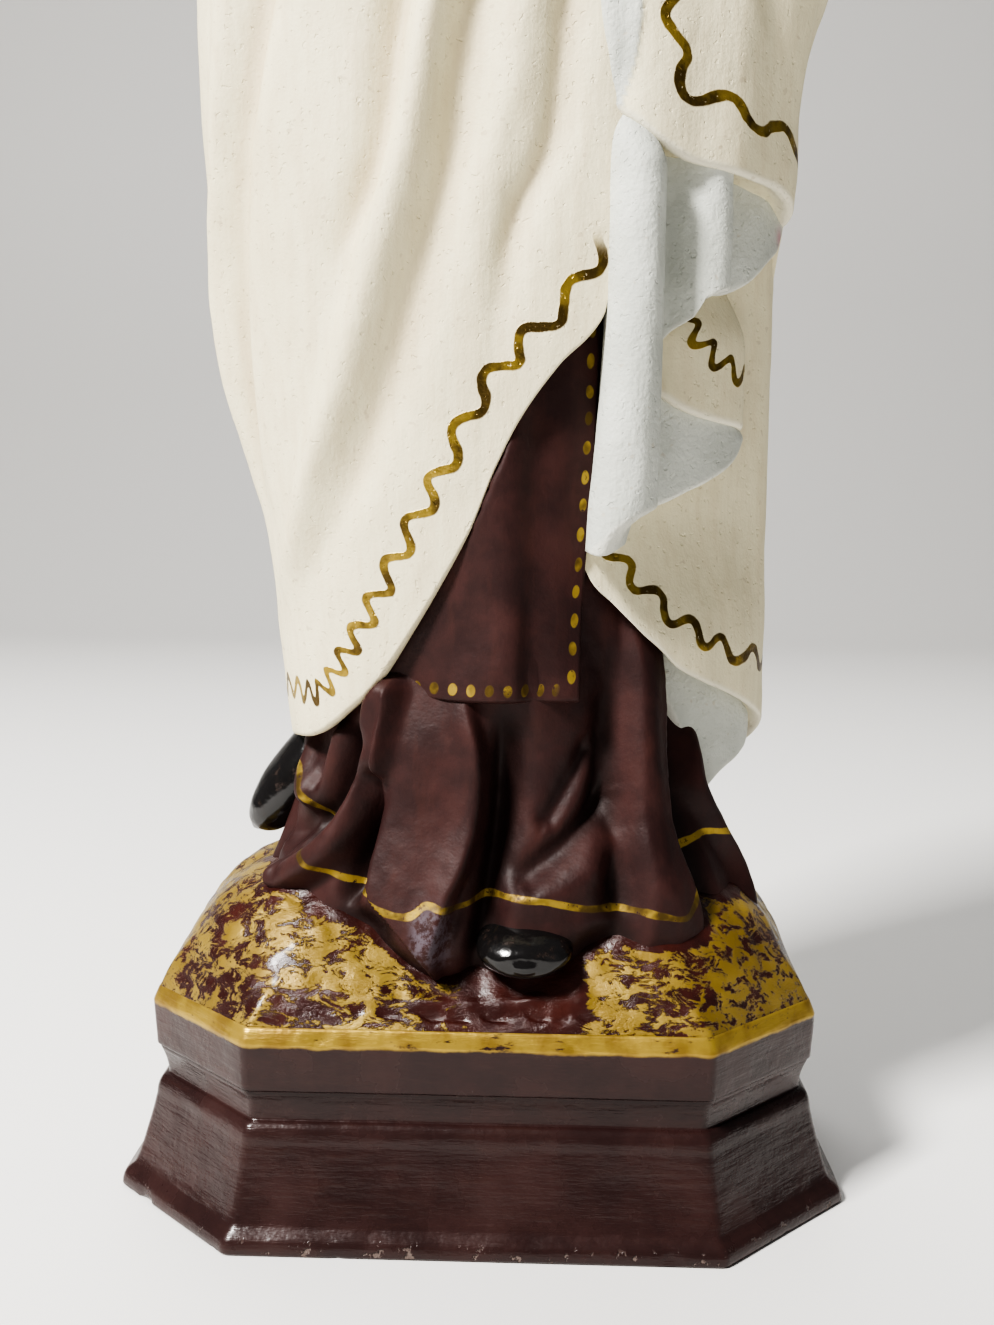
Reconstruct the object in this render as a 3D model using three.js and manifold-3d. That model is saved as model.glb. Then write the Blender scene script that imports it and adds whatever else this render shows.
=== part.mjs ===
// A painted plaster figure of a standing woman in a hooded mantle, cast in one piece with its rocky
// mound and moulded eight-sided plinth. Millimetres, +Z up, the front faces -Y, and the origin is
// the middle of the underside.
//
// Every garment is a closed skin in polar form round the figure's upright axis: an angle from the
// front (degrees, positive towards +X), a height above the plinth's ledge, and a radius that is a
// rounded-rectangle plan plus ridges and hollows. The skins overlap deep inside and are joined.
import * as THREE from "three";
import { mergeVertices } from "three/addons/utils/BufferGeometryUtils.js";
import Module from "manifold-3d";

const wasm = await Module();
wasm.setup();

// Driving dimensions: the plinth, millimetres.
const PLINTH_FRONT = 130; // length of the flat front face at the ground
const PLINTH_CORNER = 37.3; // what each cut corner takes off the width, and off the depth
const PLINTH_DEPTH = 145;
const BAND_HEIGHT = 5; // upright band that stands on the table
const FLARE_HEIGHT = 21; // hollow flare above the band
const ROLL_HEIGHT = 5.6; // rounded shoulder on top of the flare
const COVE_HEIGHT = 8; // hollow neck under the fascia
const FASCIA_HEIGHT = 13.9; // nearly upright face under the gilded edge
const NECK_INSET = 12.4; // how far the neck stands in from the band
const FASCIA_INSET = 10.4;
const LEDGE_INSET = 8.8;
const GILT_HEIGHT = 4; // gilded bevel round the top
const GILT_SLOPE = 1.6; // how far that bevel leans in

// Driving dimensions: the mound and the figure, millimetres.
const MOUND_HEIGHT = 36; // crown of the mound above the gilded bevel
const FIGURE_HEIGHT = 546; // top of the hood above the ledge

// The figure is drawn at the pattern's size of 546 mm and keeps its proportions at any other.
const PATTERN_HEIGHT = 546;
const SHARE = FIGURE_HEIGHT / PATTERN_HEIGHT;
const LEDGE = BAND_HEIGHT + FLARE_HEIGHT + ROLL_HEIGHT + COVE_HEIGHT + FASCIA_HEIGHT;

const rad = THREE.MathUtils.degToRad;
const { abs, cos, exp, hypot, max, min, sin, sqrt, PI } = Math;

// Curves through named points.

// Smooth curve through [place, value] pairs, level beyond both ends.
function track(keys) {
  const slope = keys.map((key, i) => {
    const before = keys[max(i - 1, 0)];
    const after = keys[min(i + 1, keys.length - 1)];
    return (after[1] - before[1]) / (after[0] - before[0]);
  });
  return (place) => {
    if (place <= keys[0][0]) return keys[0][1];
    const last = keys.length - 1;
    if (place >= keys[last][0]) return keys[last][1];
    let i = 0;
    while (place > keys[i + 1][0]) i += 1;
    const span = keys[i + 1][0] - keys[i][0];
    const t = (place - keys[i][0]) / span;
    const rise = keys[i + 1][1] - keys[i][1];
    const t2 = t * t;
    const t3 = t2 * t;
    return (
      keys[i][1] +
      rise * (3 * t2 - 2 * t3) +
      span * slope[i] * (t3 - 2 * t2 + t) +
      span * slope[i + 1] * (t3 - t2)
    );
  };
}

const ramp = (x, low, high) => {
  const t = min(max((x - low) / (high - low), 0), 1);
  return t * t * (3 - 2 * t);
};
const mix = (a, b, t) => a + (b - a) * t;
const bell = (x) => exp(-x * x);

// Plan of a garment: half widths to the left and right and half depths to the front and back,
// at a few heights, joined as a rounded rectangle.
const PLAN_POWER = 2.3;
function plan(rows) {
  const column = (i) => track(rows.map((row) => [row[0], row[i]]));
  const [left, right, front, back] = [column(1), column(2), column(3), column(4)];
  return (angle, height) => {
    const s = sin(rad(angle));
    const c = cos(rad(angle));
    const across = s > 0 ? right(height) : left(height);
    const along = c > 0 ? front(height) : back(height);
    return (abs(s / across) ** PLAN_POWER + abs(c / along) ** PLAN_POWER) ** (-1 / PLAN_POWER);
  };
}

// The shorter way round from one angle to another, degrees.
const turn = (angle) => ((((angle + 180) % 360) + 360) % 360) - 180;

// A ridge or hollow that follows a path of [height, angle] points: a bell across it, with its own
// width on each side, that dies away past its ends over `fade` millimetres.
function fold(path, rise, leftWidth, rightWidth, fade = 18) {
  const course = track(path);
  const low = path[0][0];
  const high = path[path.length - 1][0];
  return (angle, height, radius) => {
    const across = rad(turn(angle - course(height))) * radius;
    const along = ramp(height, low - fade, low + fade) * (1 - ramp(height, high - fade, high + fade));
    return rise * along * bell(across / (across < 0 ? leftWidth : rightWidth));
  };
}

// A limb under the cloth: a soft bump along the line between two [angle, height] places.
function limb(from, to, rise, width) {
  return (angle, height, radius) => {
    const x = rad(turn(angle - from[0])) * radius;
    const y = height - from[1];
    const dx = rad(turn(to[0] - from[0])) * radius;
    const dy = to[1] - from[1];
    const t = min(max((x * dx + y * dy) / (dx * dx + dy * dy), 0), 1);
    return rise * bell(hypot(x - t * dx, y - t * dy) / width);
  };
}

const sum = (list, ...at) => list.reduce((total, one) => total + one(...at), 0);

// Closed meshes.

// Rings of points, each as long as the last, closed round and capped by one point at each end.
function drum(rings, bottom, top) {
  const count = rings[0].length;
  const points = [...rings.flat(), bottom, top];
  const faces = [];
  const at = (ring, i) => ring * count + (i % count);
  for (let ring = 0; ring + 1 < rings.length; ring += 1) {
    for (let i = 0; i < count; i += 1) {
      faces.push(at(ring, i), at(ring, i + 1), at(ring + 1, i + 1));
      faces.push(at(ring, i), at(ring + 1, i + 1), at(ring + 1, i));
    }
  }
  for (let i = 0; i < count; i += 1) {
    faces.push(points.length - 2, at(0, i + 1), at(0, i));
    faces.push(points.length - 1, at(rings.length - 1, i), at(rings.length - 1, i + 1));
  }
  return solid(points, faces);
}

// A thick sheet: rows of outer points over rows of inner points, joined round the edge.
function slab(outer, inner) {
  const rows = outer.length;
  const count = outer[0].length;
  const points = [...outer.flat(), ...inner.flat()];
  const faces = [];
  const at = (side, row, i) => (side * rows + row) * count + i;
  const quad = (a, b, c, d) => faces.push(a, b, c, a, c, d);
  for (let row = 0; row + 1 < rows; row += 1) {
    for (let i = 0; i + 1 < count; i += 1) {
      quad(at(0, row, i), at(0, row, i + 1), at(0, row + 1, i + 1), at(0, row + 1, i));
      quad(at(1, row, i), at(1, row + 1, i), at(1, row + 1, i + 1), at(1, row, i + 1));
    }
    quad(at(0, row, 0), at(0, row + 1, 0), at(1, row + 1, 0), at(1, row, 0));
    const end = count - 1;
    quad(at(0, row, end), at(1, row, end), at(1, row + 1, end), at(0, row + 1, end));
  }
  for (let i = 0; i + 1 < count; i += 1) {
    const last = rows - 1;
    quad(at(0, 0, i), at(1, 0, i), at(1, 0, i + 1), at(0, 0, i + 1));
    quad(at(0, last, i), at(0, last, i + 1), at(1, last, i + 1), at(1, last, i));
  }
  return solid(points, faces);
}

function solid(points, faces) {
  const geometry = new THREE.BufferGeometry();
  geometry.setAttribute("position", new THREE.Float32BufferAttribute(points.flat(), 3));
  geometry.setIndex(faces);
  const merged = mergeVertices(geometry, 1e-4);
  const made = new wasm.Manifold(
    new wasm.Mesh({
      numProp: 3,
      vertProperties: merged.attributes.position.array,
      triVerts: new Uint32Array(merged.index.array),
    }),
  );
  if (made.volume() <= 0) throw new Error("a skin is inside out");
  return made;
}

const steps = (count) => Array.from({ length: count + 1 }, (_, i) => i / count);
const turnSteps = (count) => Array.from({ length: count }, (_, i) => -180 + (360 * i) / count);

// A place on the figure from an angle, a height above the ledge and a radius, pattern millimetres.
const place = (angle, height, radius, back = 0) => [
  SHARE * radius * sin(rad(angle)),
  SHARE * (back - radius * cos(rad(angle))),
  LEDGE + SHARE * height,
];

// The plinth: one cut-corner outline, drawn in by each step of the moulding.
const HALF_WIDTH = PLINTH_FRONT / 2 + PLINTH_CORNER;
const HALF_DEPTH = PLINTH_DEPTH / 2;

function outline(inset) {
  const x = HALF_WIDTH - inset;
  const y = HALF_DEPTH - inset;
  const cut = PLINTH_CORNER - inset * (2 - Math.SQRT2);
  const quarter = [
    [x, y - cut],
    [x - cut, y],
  ];
  const [side, end] = quarter;
  return [
    [-end[0], -end[1]],
    [end[0], -end[1]],
    [side[0], -side[1]],
    [side[0], side[1]],
    [end[0], end[1]],
    [-end[0], end[1]],
    [-side[0], side[1]],
    [-side[0], -side[1]],
  ];
}

function plinth() {
  const rows = [[0, 0], [0.9, BAND_HEIGHT - 0.6], [2.4, BAND_HEIGHT + 0.2]];
  let z = BAND_HEIGHT;
  for (const t of [0.33, 0.67, 1]) {
    rows.push([2.4 + 6.9 * t ** 0.72, z + FLARE_HEIGHT * t]);
  }
  z += FLARE_HEIGHT;
  for (const t of [0.35, 0.7, 1]) {
    rows.push([mix(9.3, NECK_INSET, 1 - cos((t * PI) / 2)), z + ROLL_HEIGHT * sin((t * PI) / 2)]);
  }
  z += ROLL_HEIGHT;
  for (const t of [0.35, 0.7, 1]) {
    rows.push([mix(NECK_INSET, FASCIA_INSET, t * t), z + COVE_HEIGHT * t]);
  }
  z += COVE_HEIGHT;
  rows.push([FASCIA_INSET - 0.9, z + 1.2]);
  rows.push([LEDGE_INSET, z + FASCIA_HEIGHT]);
  rows.push([LEDGE_INSET + GILT_SLOPE, z + FASCIA_HEIGHT + GILT_HEIGHT]);
  const rings = rows.map(([inset, height]) => outline(inset).map(([x, y]) => [x, y, height]));
  return drum(rings, [0, 0, 0], [0, 0, z + FASCIA_HEIGHT + GILT_HEIGHT]);
}

// The mound: a dome over the plinth's own outline, steeper at the sides, with soft boulders.
const MOUND_EDGE = LEDGE_INSET + GILT_SLOPE + 0.6;
const GROUND = LEDGE + GILT_HEIGHT;

function rim(angle, inset) {
  const s = abs(sin(rad(angle)));
  const c = abs(cos(rad(angle)));
  const x = HALF_WIDTH - inset;
  const y = HALF_DEPTH - inset;
  const cut = PLINTH_CORNER - inset * (2 - Math.SQRT2);
  return min(x / max(s, 1e-6), y / max(c, 1e-6), (x + y - cut) / (s + c));
}

function boulders(angle, share) {
  const ring = 4 * share * (1 - share);
  return ring * (1.5 * sin(rad(5 * angle + 40)) + 1.1 * sin(rad(9 * angle - 70)) * share);
}

// How square the dome's shoulder is, by the angle from the front.
const shoulder = track([
  [0, 2.1], [25, 2.6], [53, 4.8], [80, 6.4], [105, 6.4], [140, 4.2], [180, 3.2],
]);

function moundHeight(angle, share) {
  const power = shoulder(abs(turn(angle)));
  return MOUND_HEIGHT * (1 - share ** power) + boulders(angle, share);
}

function mound() {
  const angles = turnSteps(36);
  const shares = [1, 0.97, 0.91, 0.83, 0.73, 0.6];
  const ring = (share, sink) =>
    angles.map((angle) => {
      const reach = rim(angle, MOUND_EDGE) * share;
      const z = GROUND - sink + (sink ? 0 : moundHeight(angle, share) + 0.8 * (share < 1));
      return [reach * sin(rad(angle)), -reach * cos(rad(angle)), z];
    });
  const rings = [ring(1, 3), ...shares.map((share) => ring(share, 0))];
  return drum(rings, [0, 0, GROUND - 3], [0, 0, GROUND + MOUND_HEIGHT]);
}

// The robe, from its trailing hem on the mound to the neck.
const robePlan = plan([
  [8, 56, 64, 44, 50],
  [16, 66, 76, 52, 58],
  [24, 66, 76, 56, 57],
  [36, 60, 72, 53, 54],
  [60, 52, 62, 46, 50],
  [100, 46, 52, 42, 46],
  [150, 46, 48, 42, 46],
  [200, 50, 52, 42, 46],
  [250, 54, 56, 42, 46],
  [300, 56, 58, 42, 46],
  [340, 54, 56, 41, 44],
  [380, 50, 52, 37, 40],
  [410, 44, 46, 32, 36],
  [435, 33, 34, 26, 30],
  [448, 21, 21, 20, 20],
  [456, 15, 15, 16, 15],
]);

const ROBE_FOLDS = [
  fold([[16, -56], [41, -61], [47, -44], [55, -40], [65, -35], [89, -34]], 5.5, 6, 4.5, 12),
  fold([[22, -42], [40, -37], [60, -30], [88, -26]], -3.5, 4, 5, 12),
  fold([[14, -11], [31, -10], [40, -3], [50, 0], [84, 1]], 6.5, 9, 3.6, 14),
  fold([[14, 2], [28, 1], [61, 6], [83, 8]], -6, 3.2, 6, 16),
  fold([[24, 22], [38, 20], [56, 18]], 4.5, 9, 9, 10),
  fold([[47, 35], [57, 25], [65, 18]], -3, 5, 5, 8),
  fold([[14, 52], [28, 53], [44, 47], [72, 51], [104, 56]], 6.5, 5.5, 5.5, 16),
  fold([[30, 36], [41, 38], [80, 43], [110, 46]], -4.5, 5, 4, 14),
  fold([[20, 63], [58, 68], [90, 70]], -5, 4, 4, 14),
  fold([[14, 73], [33, 84], [56, 78], [84, 84]], 5, 5, 6, 14),
  fold([[10, -84], [40, -80], [70, -76]], 5, 7, 7, 14),
  fold([[10, -69], [40, -70], [70, -62]], -4.5, 5, 5, 14),
];

function robeRadius(angle, height) {
  const base = robePlan(angle, height);
  const behind = ramp(abs(turn(angle)), 95, 120) * (1 - ramp(height, 60, 110));
  const pleats = behind * 2.6 * cos(rad(11 * angle + 25));
  const knee = limb([12, 90], [-2, 190], 4.5, 13)(angle, height, base);
  return base + sum(ROBE_FOLDS, angle, height, base) + pleats + knee;
}

function robe() {
  const angles = turnSteps(60);
  const heights = [8, 16, 23, 30, 38, 48, 60, 74, 90, 110, 200, 300, 360, 400, 430, 447, 455];
  const rings = heights.map((height) => {
    const row = angles.map((angle) => place(angle, height, robeRadius(angle, height)));
    return row;
  });
  return drum(rings, place(0, 6, 0), place(0, 452, 0));
}

// The scapular, a long panel that hangs down the front of the robe to a straight hem.
const scapularLeft = track([[88, -50], [200, -42], [340, -36], [400, -36], [444, -62]]);
const scapularRight = track([[88, 30], [155, 34.9], [184, 35.5], [340, 38], [400, 42], [444, 66]]);
const SCAPULAR_TOP = 446;

function scapular() {
  const rows = [88.6, 90, 98, 118, 150, 190, 240, 320, 360, 400, 430];
  rows.push(SCAPULAR_TOP);
  const skin = (inset) =>
    rows.map((height, row) =>
      steps(8).map((t) => {
        const angle = mix(scapularLeft(height), scapularRight(height), t);
        const edge = min(t, 1 - t) * 8;
        const lip = row === 0 ? 0.5 : 0;
        const base = robePlan(angle, height);
        const knee = limb([12, 90], [-2, 190], 4.5, 13)(angle, height, base);
        const crease = fold([[84, 6], [130, 2], [200, -4]], -1.6, 5, 7)(angle, height, base);
        const thick = 1.6 + 0.7 * min(edge, 1) - lip;
        const wave = 1.6 * ramp(110 - height, 0, 20) * cos(rad(9 * angle + 60));
        return place(angle, height, inset || base + knee + crease + thick + wave);
      }),
    );
  return slab(skin(0), skin(24));
}

// The mantle: drawn across from the left, its hem climbing to the gathered folds on the right.
const mantlePlan = plan([
  [50, 54, 76, 44, 52],
  [75, 58, 80, 46, 54],
  [100, 61, 80, 47, 55],
  [130, 64.5, 80, 48, 55],
  [160, 72, 79, 49, 55],
  [190, 78, 79, 50, 54],
  [230, 81.5, 83, 50, 53],
  [245, 82.8, 84.5, 50, 52.5],
  [256, 83.4, 89, 50, 52],
  [270, 83.8, 94.5, 50, 51],
  [290, 84.4, 97.6, 50, 50],
  [320, 86, 98.5, 51, 50],
  [345, 87, 98.5, 50, 49],
  [365, 86, 94.5, 46, 47],
  [385, 83, 88, 42, 45],
  [405, 79, 81, 37, 43],
  [422, 72.5, 73.5, 33, 41],
  [436, 62, 63, 30, 39],
  [447, 49, 49.5, 28, 37],
  [456, 38, 38, 26, 35.5],
  [464, 32, 32, 24, 33],
]);

const mantleHem = track([
  [-180, 55],
  [-150, 56],
  [-120, 66],
  [-90, 72],
  [-75, 74],
  [-60.3, 75.9],
  [-52.9, 78.8],
  [-44.9, 84.1],
  [-36.3, 90.7],
  [-28.1, 100.6],
  [-17.1, 115.5],
  [-4.8, 133.9],
  [2.7, 149.5],
  [10, 162.3],
  [20.9, 176.3],
  [32, 188.4],
  [34, 200],
  [38, 231],
  [60, 232],
  [84, 230],
  [94, 190],
  [104, 90],
  [112, 62],
  [150, 56],
  [180, 55],
]);
const MANTLE_TOP = 462;

const MANTLE_FOLDS = [
  fold([[150, -74], [186, -70], [231, -66], [270, -59], [330, -50], [370, -46]], -3.4, 3.5, 5, 26),
  fold([[160, -79], [200, -76], [224, -72], [271, -65.5], [340, -58]], 2.4, 5, 4, 26),
  fold([[120, -62], [142, -50], [180, -35.5], [234, -22], [265, -15], [300, -3], [322, 8]], 3.4, 9, 6),
  fold([[134, -50], [171, -32], [195, -23.5], [227, -12.4], [265, -8], [300, 5], [322, 15]], -2, 5, 9),
  fold([[205, -40], [235, -30], [266, -26], [300, -17], [340, -8]], -2.6, 5, 6, 22),
  fold([[190, 3], [215, 8.7], [232, 18], [266, 22], [300, 27], [320, 30]], -2.4, 4, 5, 22),
  fold([[210, -6], [240, 4], [270, 10], [300, 17], [322, 24]], 2.2, 6, 6, 22),
  fold([[300, -40], [330, -24], [350, -8], [352, 6]], 2.6, 6, 5, 16),
  fold([[290, -52], [330, -42], [372, -30], [400, -26]], -2.6, 5, 5, 22),
  fold([[262, 66], [300, 60], [335, 48]], -3, 5, 5, 20),
  fold([[258, 82], [300, 78], [338, 64]], -2.6, 5, 6, 20),
  fold([[330, 92], [370, 84], [420, 70]], -3, 7, 7, 18),
  fold([[330, -96], [370, -84], [420, -72]], -3, 7, 7, 18),
];

function mantleRadius(angle, height) {
  const base = mantlePlan(angle, height);
  const side = abs(turn(angle));
  const behind = ramp(side, 92, 122);
  const drop = behind * (1 - ramp(height, 350, 430));
  const pleats = drop * 3.1 * cos(rad(12 * angle + 18 * sin(height / 70)));
  const arms =
    limb([66, 328], [44, 346], 9, 20)(angle, height, base) +
    limb([-78, 336], [-34, 388], 6, 19)(angle, height, base);
  return base + sum(MANTLE_FOLDS, angle, height, base) + pleats + arms;
}

function mantle() {
  const angles = [...steps(39).map((t) => -180 + 236 * t), ...steps(13).map((t) => 64 + 108 * t)];
  const at = (angle, t, inset = 0, drop = 0) => {
    const height = mix(mantleHem(angle), MANTLE_TOP, t);
    return place(angle, height - drop, mantleRadius(angle, height) - inset);
  };
  const rings = [
    angles.map((angle) => at(angle, 0, 7, -3)),
    angles.map((angle) => at(angle, 0, 1.2, 0.4)),
    ...steps(16).map((t) => angles.map((angle) => at(angle, t))),
  ];
  return drum(rings, place(0, 250, 0), place(0, MANTLE_TOP, 0));
}

// The gathered end of the mantle, hanging below the left arm in folds that turn back and forth:
// each layer stands behind the one above, its hem climbing or falling, and runs in to the body.
function layer(from, to, hem, top, radius, columns, rows, core = 26) {
  const skin = (inner) =>
    steps(rows).map((v) =>
      steps(columns).map((u) => {
        const angle = mix(from, to, u);
        const height = mix(hem(angle), top(angle), v);
        return place(angle, height, inner ? core : radius(angle, height));
      }),
    );
  return slab(skin(false), skin(true));
}

const flat = (value) => () => value;

function cascade() {
  const outerTop = track([[34, 318], [60, 330], [96, 330], [122, 300]]);
  const outerHem = track([
    [34, 240], [37.7, 236.4], [41.3, 232.8], [47.9, 228.6], [55.9, 226.8], [63.2, 225.8],
    [70.1, 224.9], [75.6, 222.6], [84, 220], [96, 222], [108, 232], [122, 252],
  ]);
  const outerFold = track([
    [34, 0.5], [38, 3.5], [44, 4], [50, 3.4], [58, 4.4], [66, 3.4], [76, 5], [86, 3.4], [96, 3],
    [108, 2.6], [122, -2],
  ]);
  const outer = (angle, height) => {
    const fall = 1 - ramp(height, 250, 318);
    return mantleRadius(angle, height) + outerFold(angle) * fall - 0.9 * (1 - fall);
  };

  const columnHem = track([[29, 131], [34, 130], [38, 132], [46, 137]]);
  const column = track([[29, 50], [31, 58], [34, 63.5], [38, 66.5], [42, 66.5], [45, 63], [47, 56]]);
  const narrow = (angle, height) =>
    column(angle + 2.5 * (1 - ramp(height, 150, 225)) * (angle < 38 ? 1 : 0.4)) -
    2.5 * (1 - ramp(height, 120, 150));

  const liningHem = track([
    [44, 181], [48.3, 181], [52.8, 189], [54, 194.4], [60.9, 197.5], [69.8, 198], [75, 201.8],
    [79, 207.4], [83.9, 212.3], [88.4, 219.3], [93, 224],
  ]);
  const lining = track([
    [44, 60], [48, 62.5], [51.5, 61.5], [54, 67.5], [57.5, 71], [61, 70.4], [64, 66.5],
    [70.6, 70.5], [78, 77], [84.4, 80.6], [93, 83],
  ]);

  const middleHem = track([[44, 172], [52.3, 170], [57, 167.1], [62.6, 164.8], [72, 163], [79, 162]]);
  const middle = track([[44, 52], [52.3, 59], [57, 62.4], [62.6, 65.3], [68, 66.6], [74, 66.6], [79, 64]]);

  const innerHem = track([
    [30, 131], [37.5, 132.2], [43.2, 134.6], [49.8, 138.1], [57.4, 140.8], [64.1, 143.9],
    [73.1, 148], [78, 156], [82, 160],
  ]);
  const inner = track([[30, 49], [37, 53], [44, 54.5], [54.6, 56.2], [64, 61], [70, 63.6], [77, 64.6], [82, 62]]);

  const lowHem = track([
    [31.5, 127], [33.2, 125], [36.1, 119.5], [41.9, 114.4], [48.2, 107.3], [54.9, 101.1],
    [59.9, 96.4], [67.1, 92.3], [73.4, 89.4], [80, 85.2], [89.5, 79.1], [96, 74], [104, 68], [118, 62],
  ]);
  const lowOut = track([
    [31.5, 46.5], [33.2, 50.4], [42, 53], [48, 55.8], [55, 58.9], [60, 61.2], [67, 65.7],
    [73.4, 69.5], [80, 75.1], [89.5, 80.6], [96, 81.5], [104, 80], [118, 71.5],
  ]);
  const lowIn = track([
    [31.5, 44], [50, 48], [65, 55], [72, 60], [77.7, 65.5], [84, 71.8], [90, 79.4], [96, 81.5],
    [104, 80.2], [118, 71.5],
  ]);
  const low = (angle, height) => mix(lowOut(angle), lowIn(angle), ramp(height, 100, 140));

  const lastHem = track([
    [68, 90], [75.5, 68], [77.1, 57.6], [79.1, 59.1], [82.8, 63.9], [87.8, 68], [92.5, 72.4], [104, 62],
  ]);
  const last = track([[68, 53], [72, 57.5], [78, 63.5], [83.5, 69.5], [90, 76], [96, 78], [104, 76]]);

  return [
    layer(34, 122, outerHem, outerTop, outer, 22, 7, 40),
    layer(29, 47, columnHem, flat(236), narrow, 8, 8),
    layer(44, 93, liningHem, flat(238), (angle) => lining(angle), 20, 3),
    layer(44, 79, middleHem, flat(205), (angle) => middle(angle), 8, 3),
    layer(30, 82, innerHem, flat(180), (angle) => inner(angle), 12, 3),
    layer(31.5, 118, lowHem, flat(238), low, 20, 6),
    layer(68, 104, lastHem, flat(110), (angle) => last(angle), 10, 3),
  ];
}

// A place on the figure from pattern millimetres across, back and above the ledge.
const stand = (x, y, h) => [SHARE * x, SHARE * y, LEDGE + SHARE * h];

// A rounded tube through [across, back, height, half width, half thickness] stations.
function tube(path, sides = 8) {
  const spine = path.map(([x, y, h]) => new THREE.Vector3(...stand(x, y, h)));
  const rings = [];
  const side = new THREE.Vector3();
  const lift = new THREE.Vector3();
  path.forEach(([, , , wide, thick = wide], i) => {
    const along = spine[min(i + 1, spine.length - 1)].clone().sub(spine[max(i - 1, 0)]).normalize();
    const up = abs(along.z) > 0.9 ? new THREE.Vector3(0, 1, 0) : new THREE.Vector3(0, 0, 1);
    side.crossVectors(along, up).normalize();
    lift.crossVectors(along, side);
    rings.push(
      turnSteps(sides).map((angle) => {
        const point = spine[i].clone();
        point.addScaledVector(side, SHARE * wide * cos(rad(angle)));
        point.addScaledVector(lift, SHARE * thick * sin(rad(angle)));
        return point.toArray();
      }),
    );
  });
  return drum(rings, spine[0].toArray(), spine[spine.length - 1].toArray());
}

// Four fingers in a row: knuckles, middle joints and tips, set side by side across the palm.
function fingers(knuckle, joint, tip, across, lengths, thickness) {
  return lengths.map((length, i) => {
    const shift = (i - 1.5) * thickness * 1.74;
    const at = (point, share, size) => {
      const [x, y, h] = point.map((value, k) => mix(knuckle[k], value, share) + across[k] * shift);
      return [x, y, h, thickness * size];
    };
    return tube(
      [
        at(knuckle, 0, 0.9),
        at(joint, 0.5, 1.04),
        at(joint, length, 1),
        at(tip, length, 0.74),
        at(tip, length * 1.05, 0.3),
      ],
      6,
    );
  });
}

function hands() {
  const laidPalm = tube([
    [-32, -30, 384, 6.5, 8], [-24, -38, 390, 5.8, 8.2], [-15, -41.5, 395, 5, 9.2],
    [-7, -42.5, 400, 4.4, 9.8], [-1, -42.5, 403.5, 3.6, 9.4], [2, -42, 405, 2, 7],
  ]);
  const laidFingers = fingers(
    [-2, -43, 403.5], [9, -44.2, 410], [19, -40.5, 416], [-0.5, 0, 0.86], [0.8, 0.95, 1, 0.92], 2.45,
  );
  const laidThumb = tube([
    [-17, -43, 401, 3], [-9, -45.5, 409, 3.1], [-2, -45.5, 416, 2.6], [3, -43.5, 420, 2], [4, -43, 421, 1],
  ], 6);
  const heldPalm = tube([
    [66, -34, 352, 7, 8], [57, -44, 349, 6.2, 8], [49, -52, 345, 5.6, 9], [42, -57, 341.5, 4.8, 9.4],
    [38, -58.5, 340, 3, 8],
  ]);
  const heldFingers = fingers(
    [39, -59, 340], [31, -61.5, 336], [27.5, -54, 331], [0.12, 0, 0.95], [0.86, 0.96, 1, 0.95], 2.5,
  );
  const heldThumb = tube([
    [50, -52, 353, 3], [42, -57, 355, 3], [34, -58, 353, 2.6], [29, -55, 350, 2], [28, -54, 349.5, 1],
  ], 6);
  const cuffs = [
    tube([[-46, -14, 372, 12], [-36, -26, 381, 11.5], [-29, -34, 386.5, 11], [-28.5, -34.5, 387, 6]], 10),
    tube([[74, -20, 350, 13], [66, -33, 351, 12.5], [60, -40.5, 350, 11.5], [59.5, -41, 350, 6]], 10),
  ];
  return [
    laidPalm, ...laidFingers, laidThumb, heldPalm, ...heldFingers, heldThumb, ...cuffs,
  ];
}

// The head, on common proportions: eyes half way up, nose and mouth dividing the lower half.
const HEAD_HALF = 35;
const HEAD_AT = [0, -1.5, 502];
const HEAD_BOW = 7; // degrees the face looks down
const HEAD_TURN = -5; // degrees it turns towards the drawn side of the mantle
const headWide = track([
  [-35, 3], [-33.5, 8], [-30, 12], [-25, 15.5], [-18, 18.4], [-8, 21.3], [0, 22.8], [10, 23.6],
  [19, 22.2], [26, 18.3], [31, 12.6], [34, 6.4], [35, 2],
]);
const headFront = track([
  [-35, 6], [-34, 14], [-31.5, 19.5], [-27, 21.6], [-18, 21.8], [-8, 23], [0, 23.6], [10, 25.2],
  [19, 24], [26, 19.6], [31, 13.4], [34, 6.8], [35, 2],
]);
const headBack = track([
  [-35, 2], [-32, 6], [-26, 10], [-18, 15], [-8, 22], [2, 27.6], [12, 29.6], [21, 26.8], [28, 20],
  [33, 10.6], [35, 2],
]);

// Rounded features on the face, each [across, up, rise, half width, half height].
const FEATURES = [
  [0, -1, 2.6, 2.2, 6.5], [0, -7.5, 4.2, 2.7, 4.6], [0, -10.4, 2.4, 3.1, 2.3],
  [-3.4, -11, 1.7, 1.8, 1.6], [3.4, -11, 1.7, 1.8, 1.6],
  [-9.6, 1.2, -3.2, 5.6, 4], [9.6, 1.2, -3.2, 5.6, 4],
  [-9.8, -0.4, 2.5, 4.3, 2.5], [9.8, -0.4, 2.5, 4.3, 2.5],
  [0, -16.9, 1.7, 4.6, 1.25], [0, -20.2, 1.9, 3.9, 1.4], [0, -18.6, -1, 4.8, 0.7],
  [0, -29, 2.3, 5.5, 4.2], [-12.5, -9, 1.2, 6, 6], [12.5, -9, 1.2, 6, 6],
];

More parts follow.
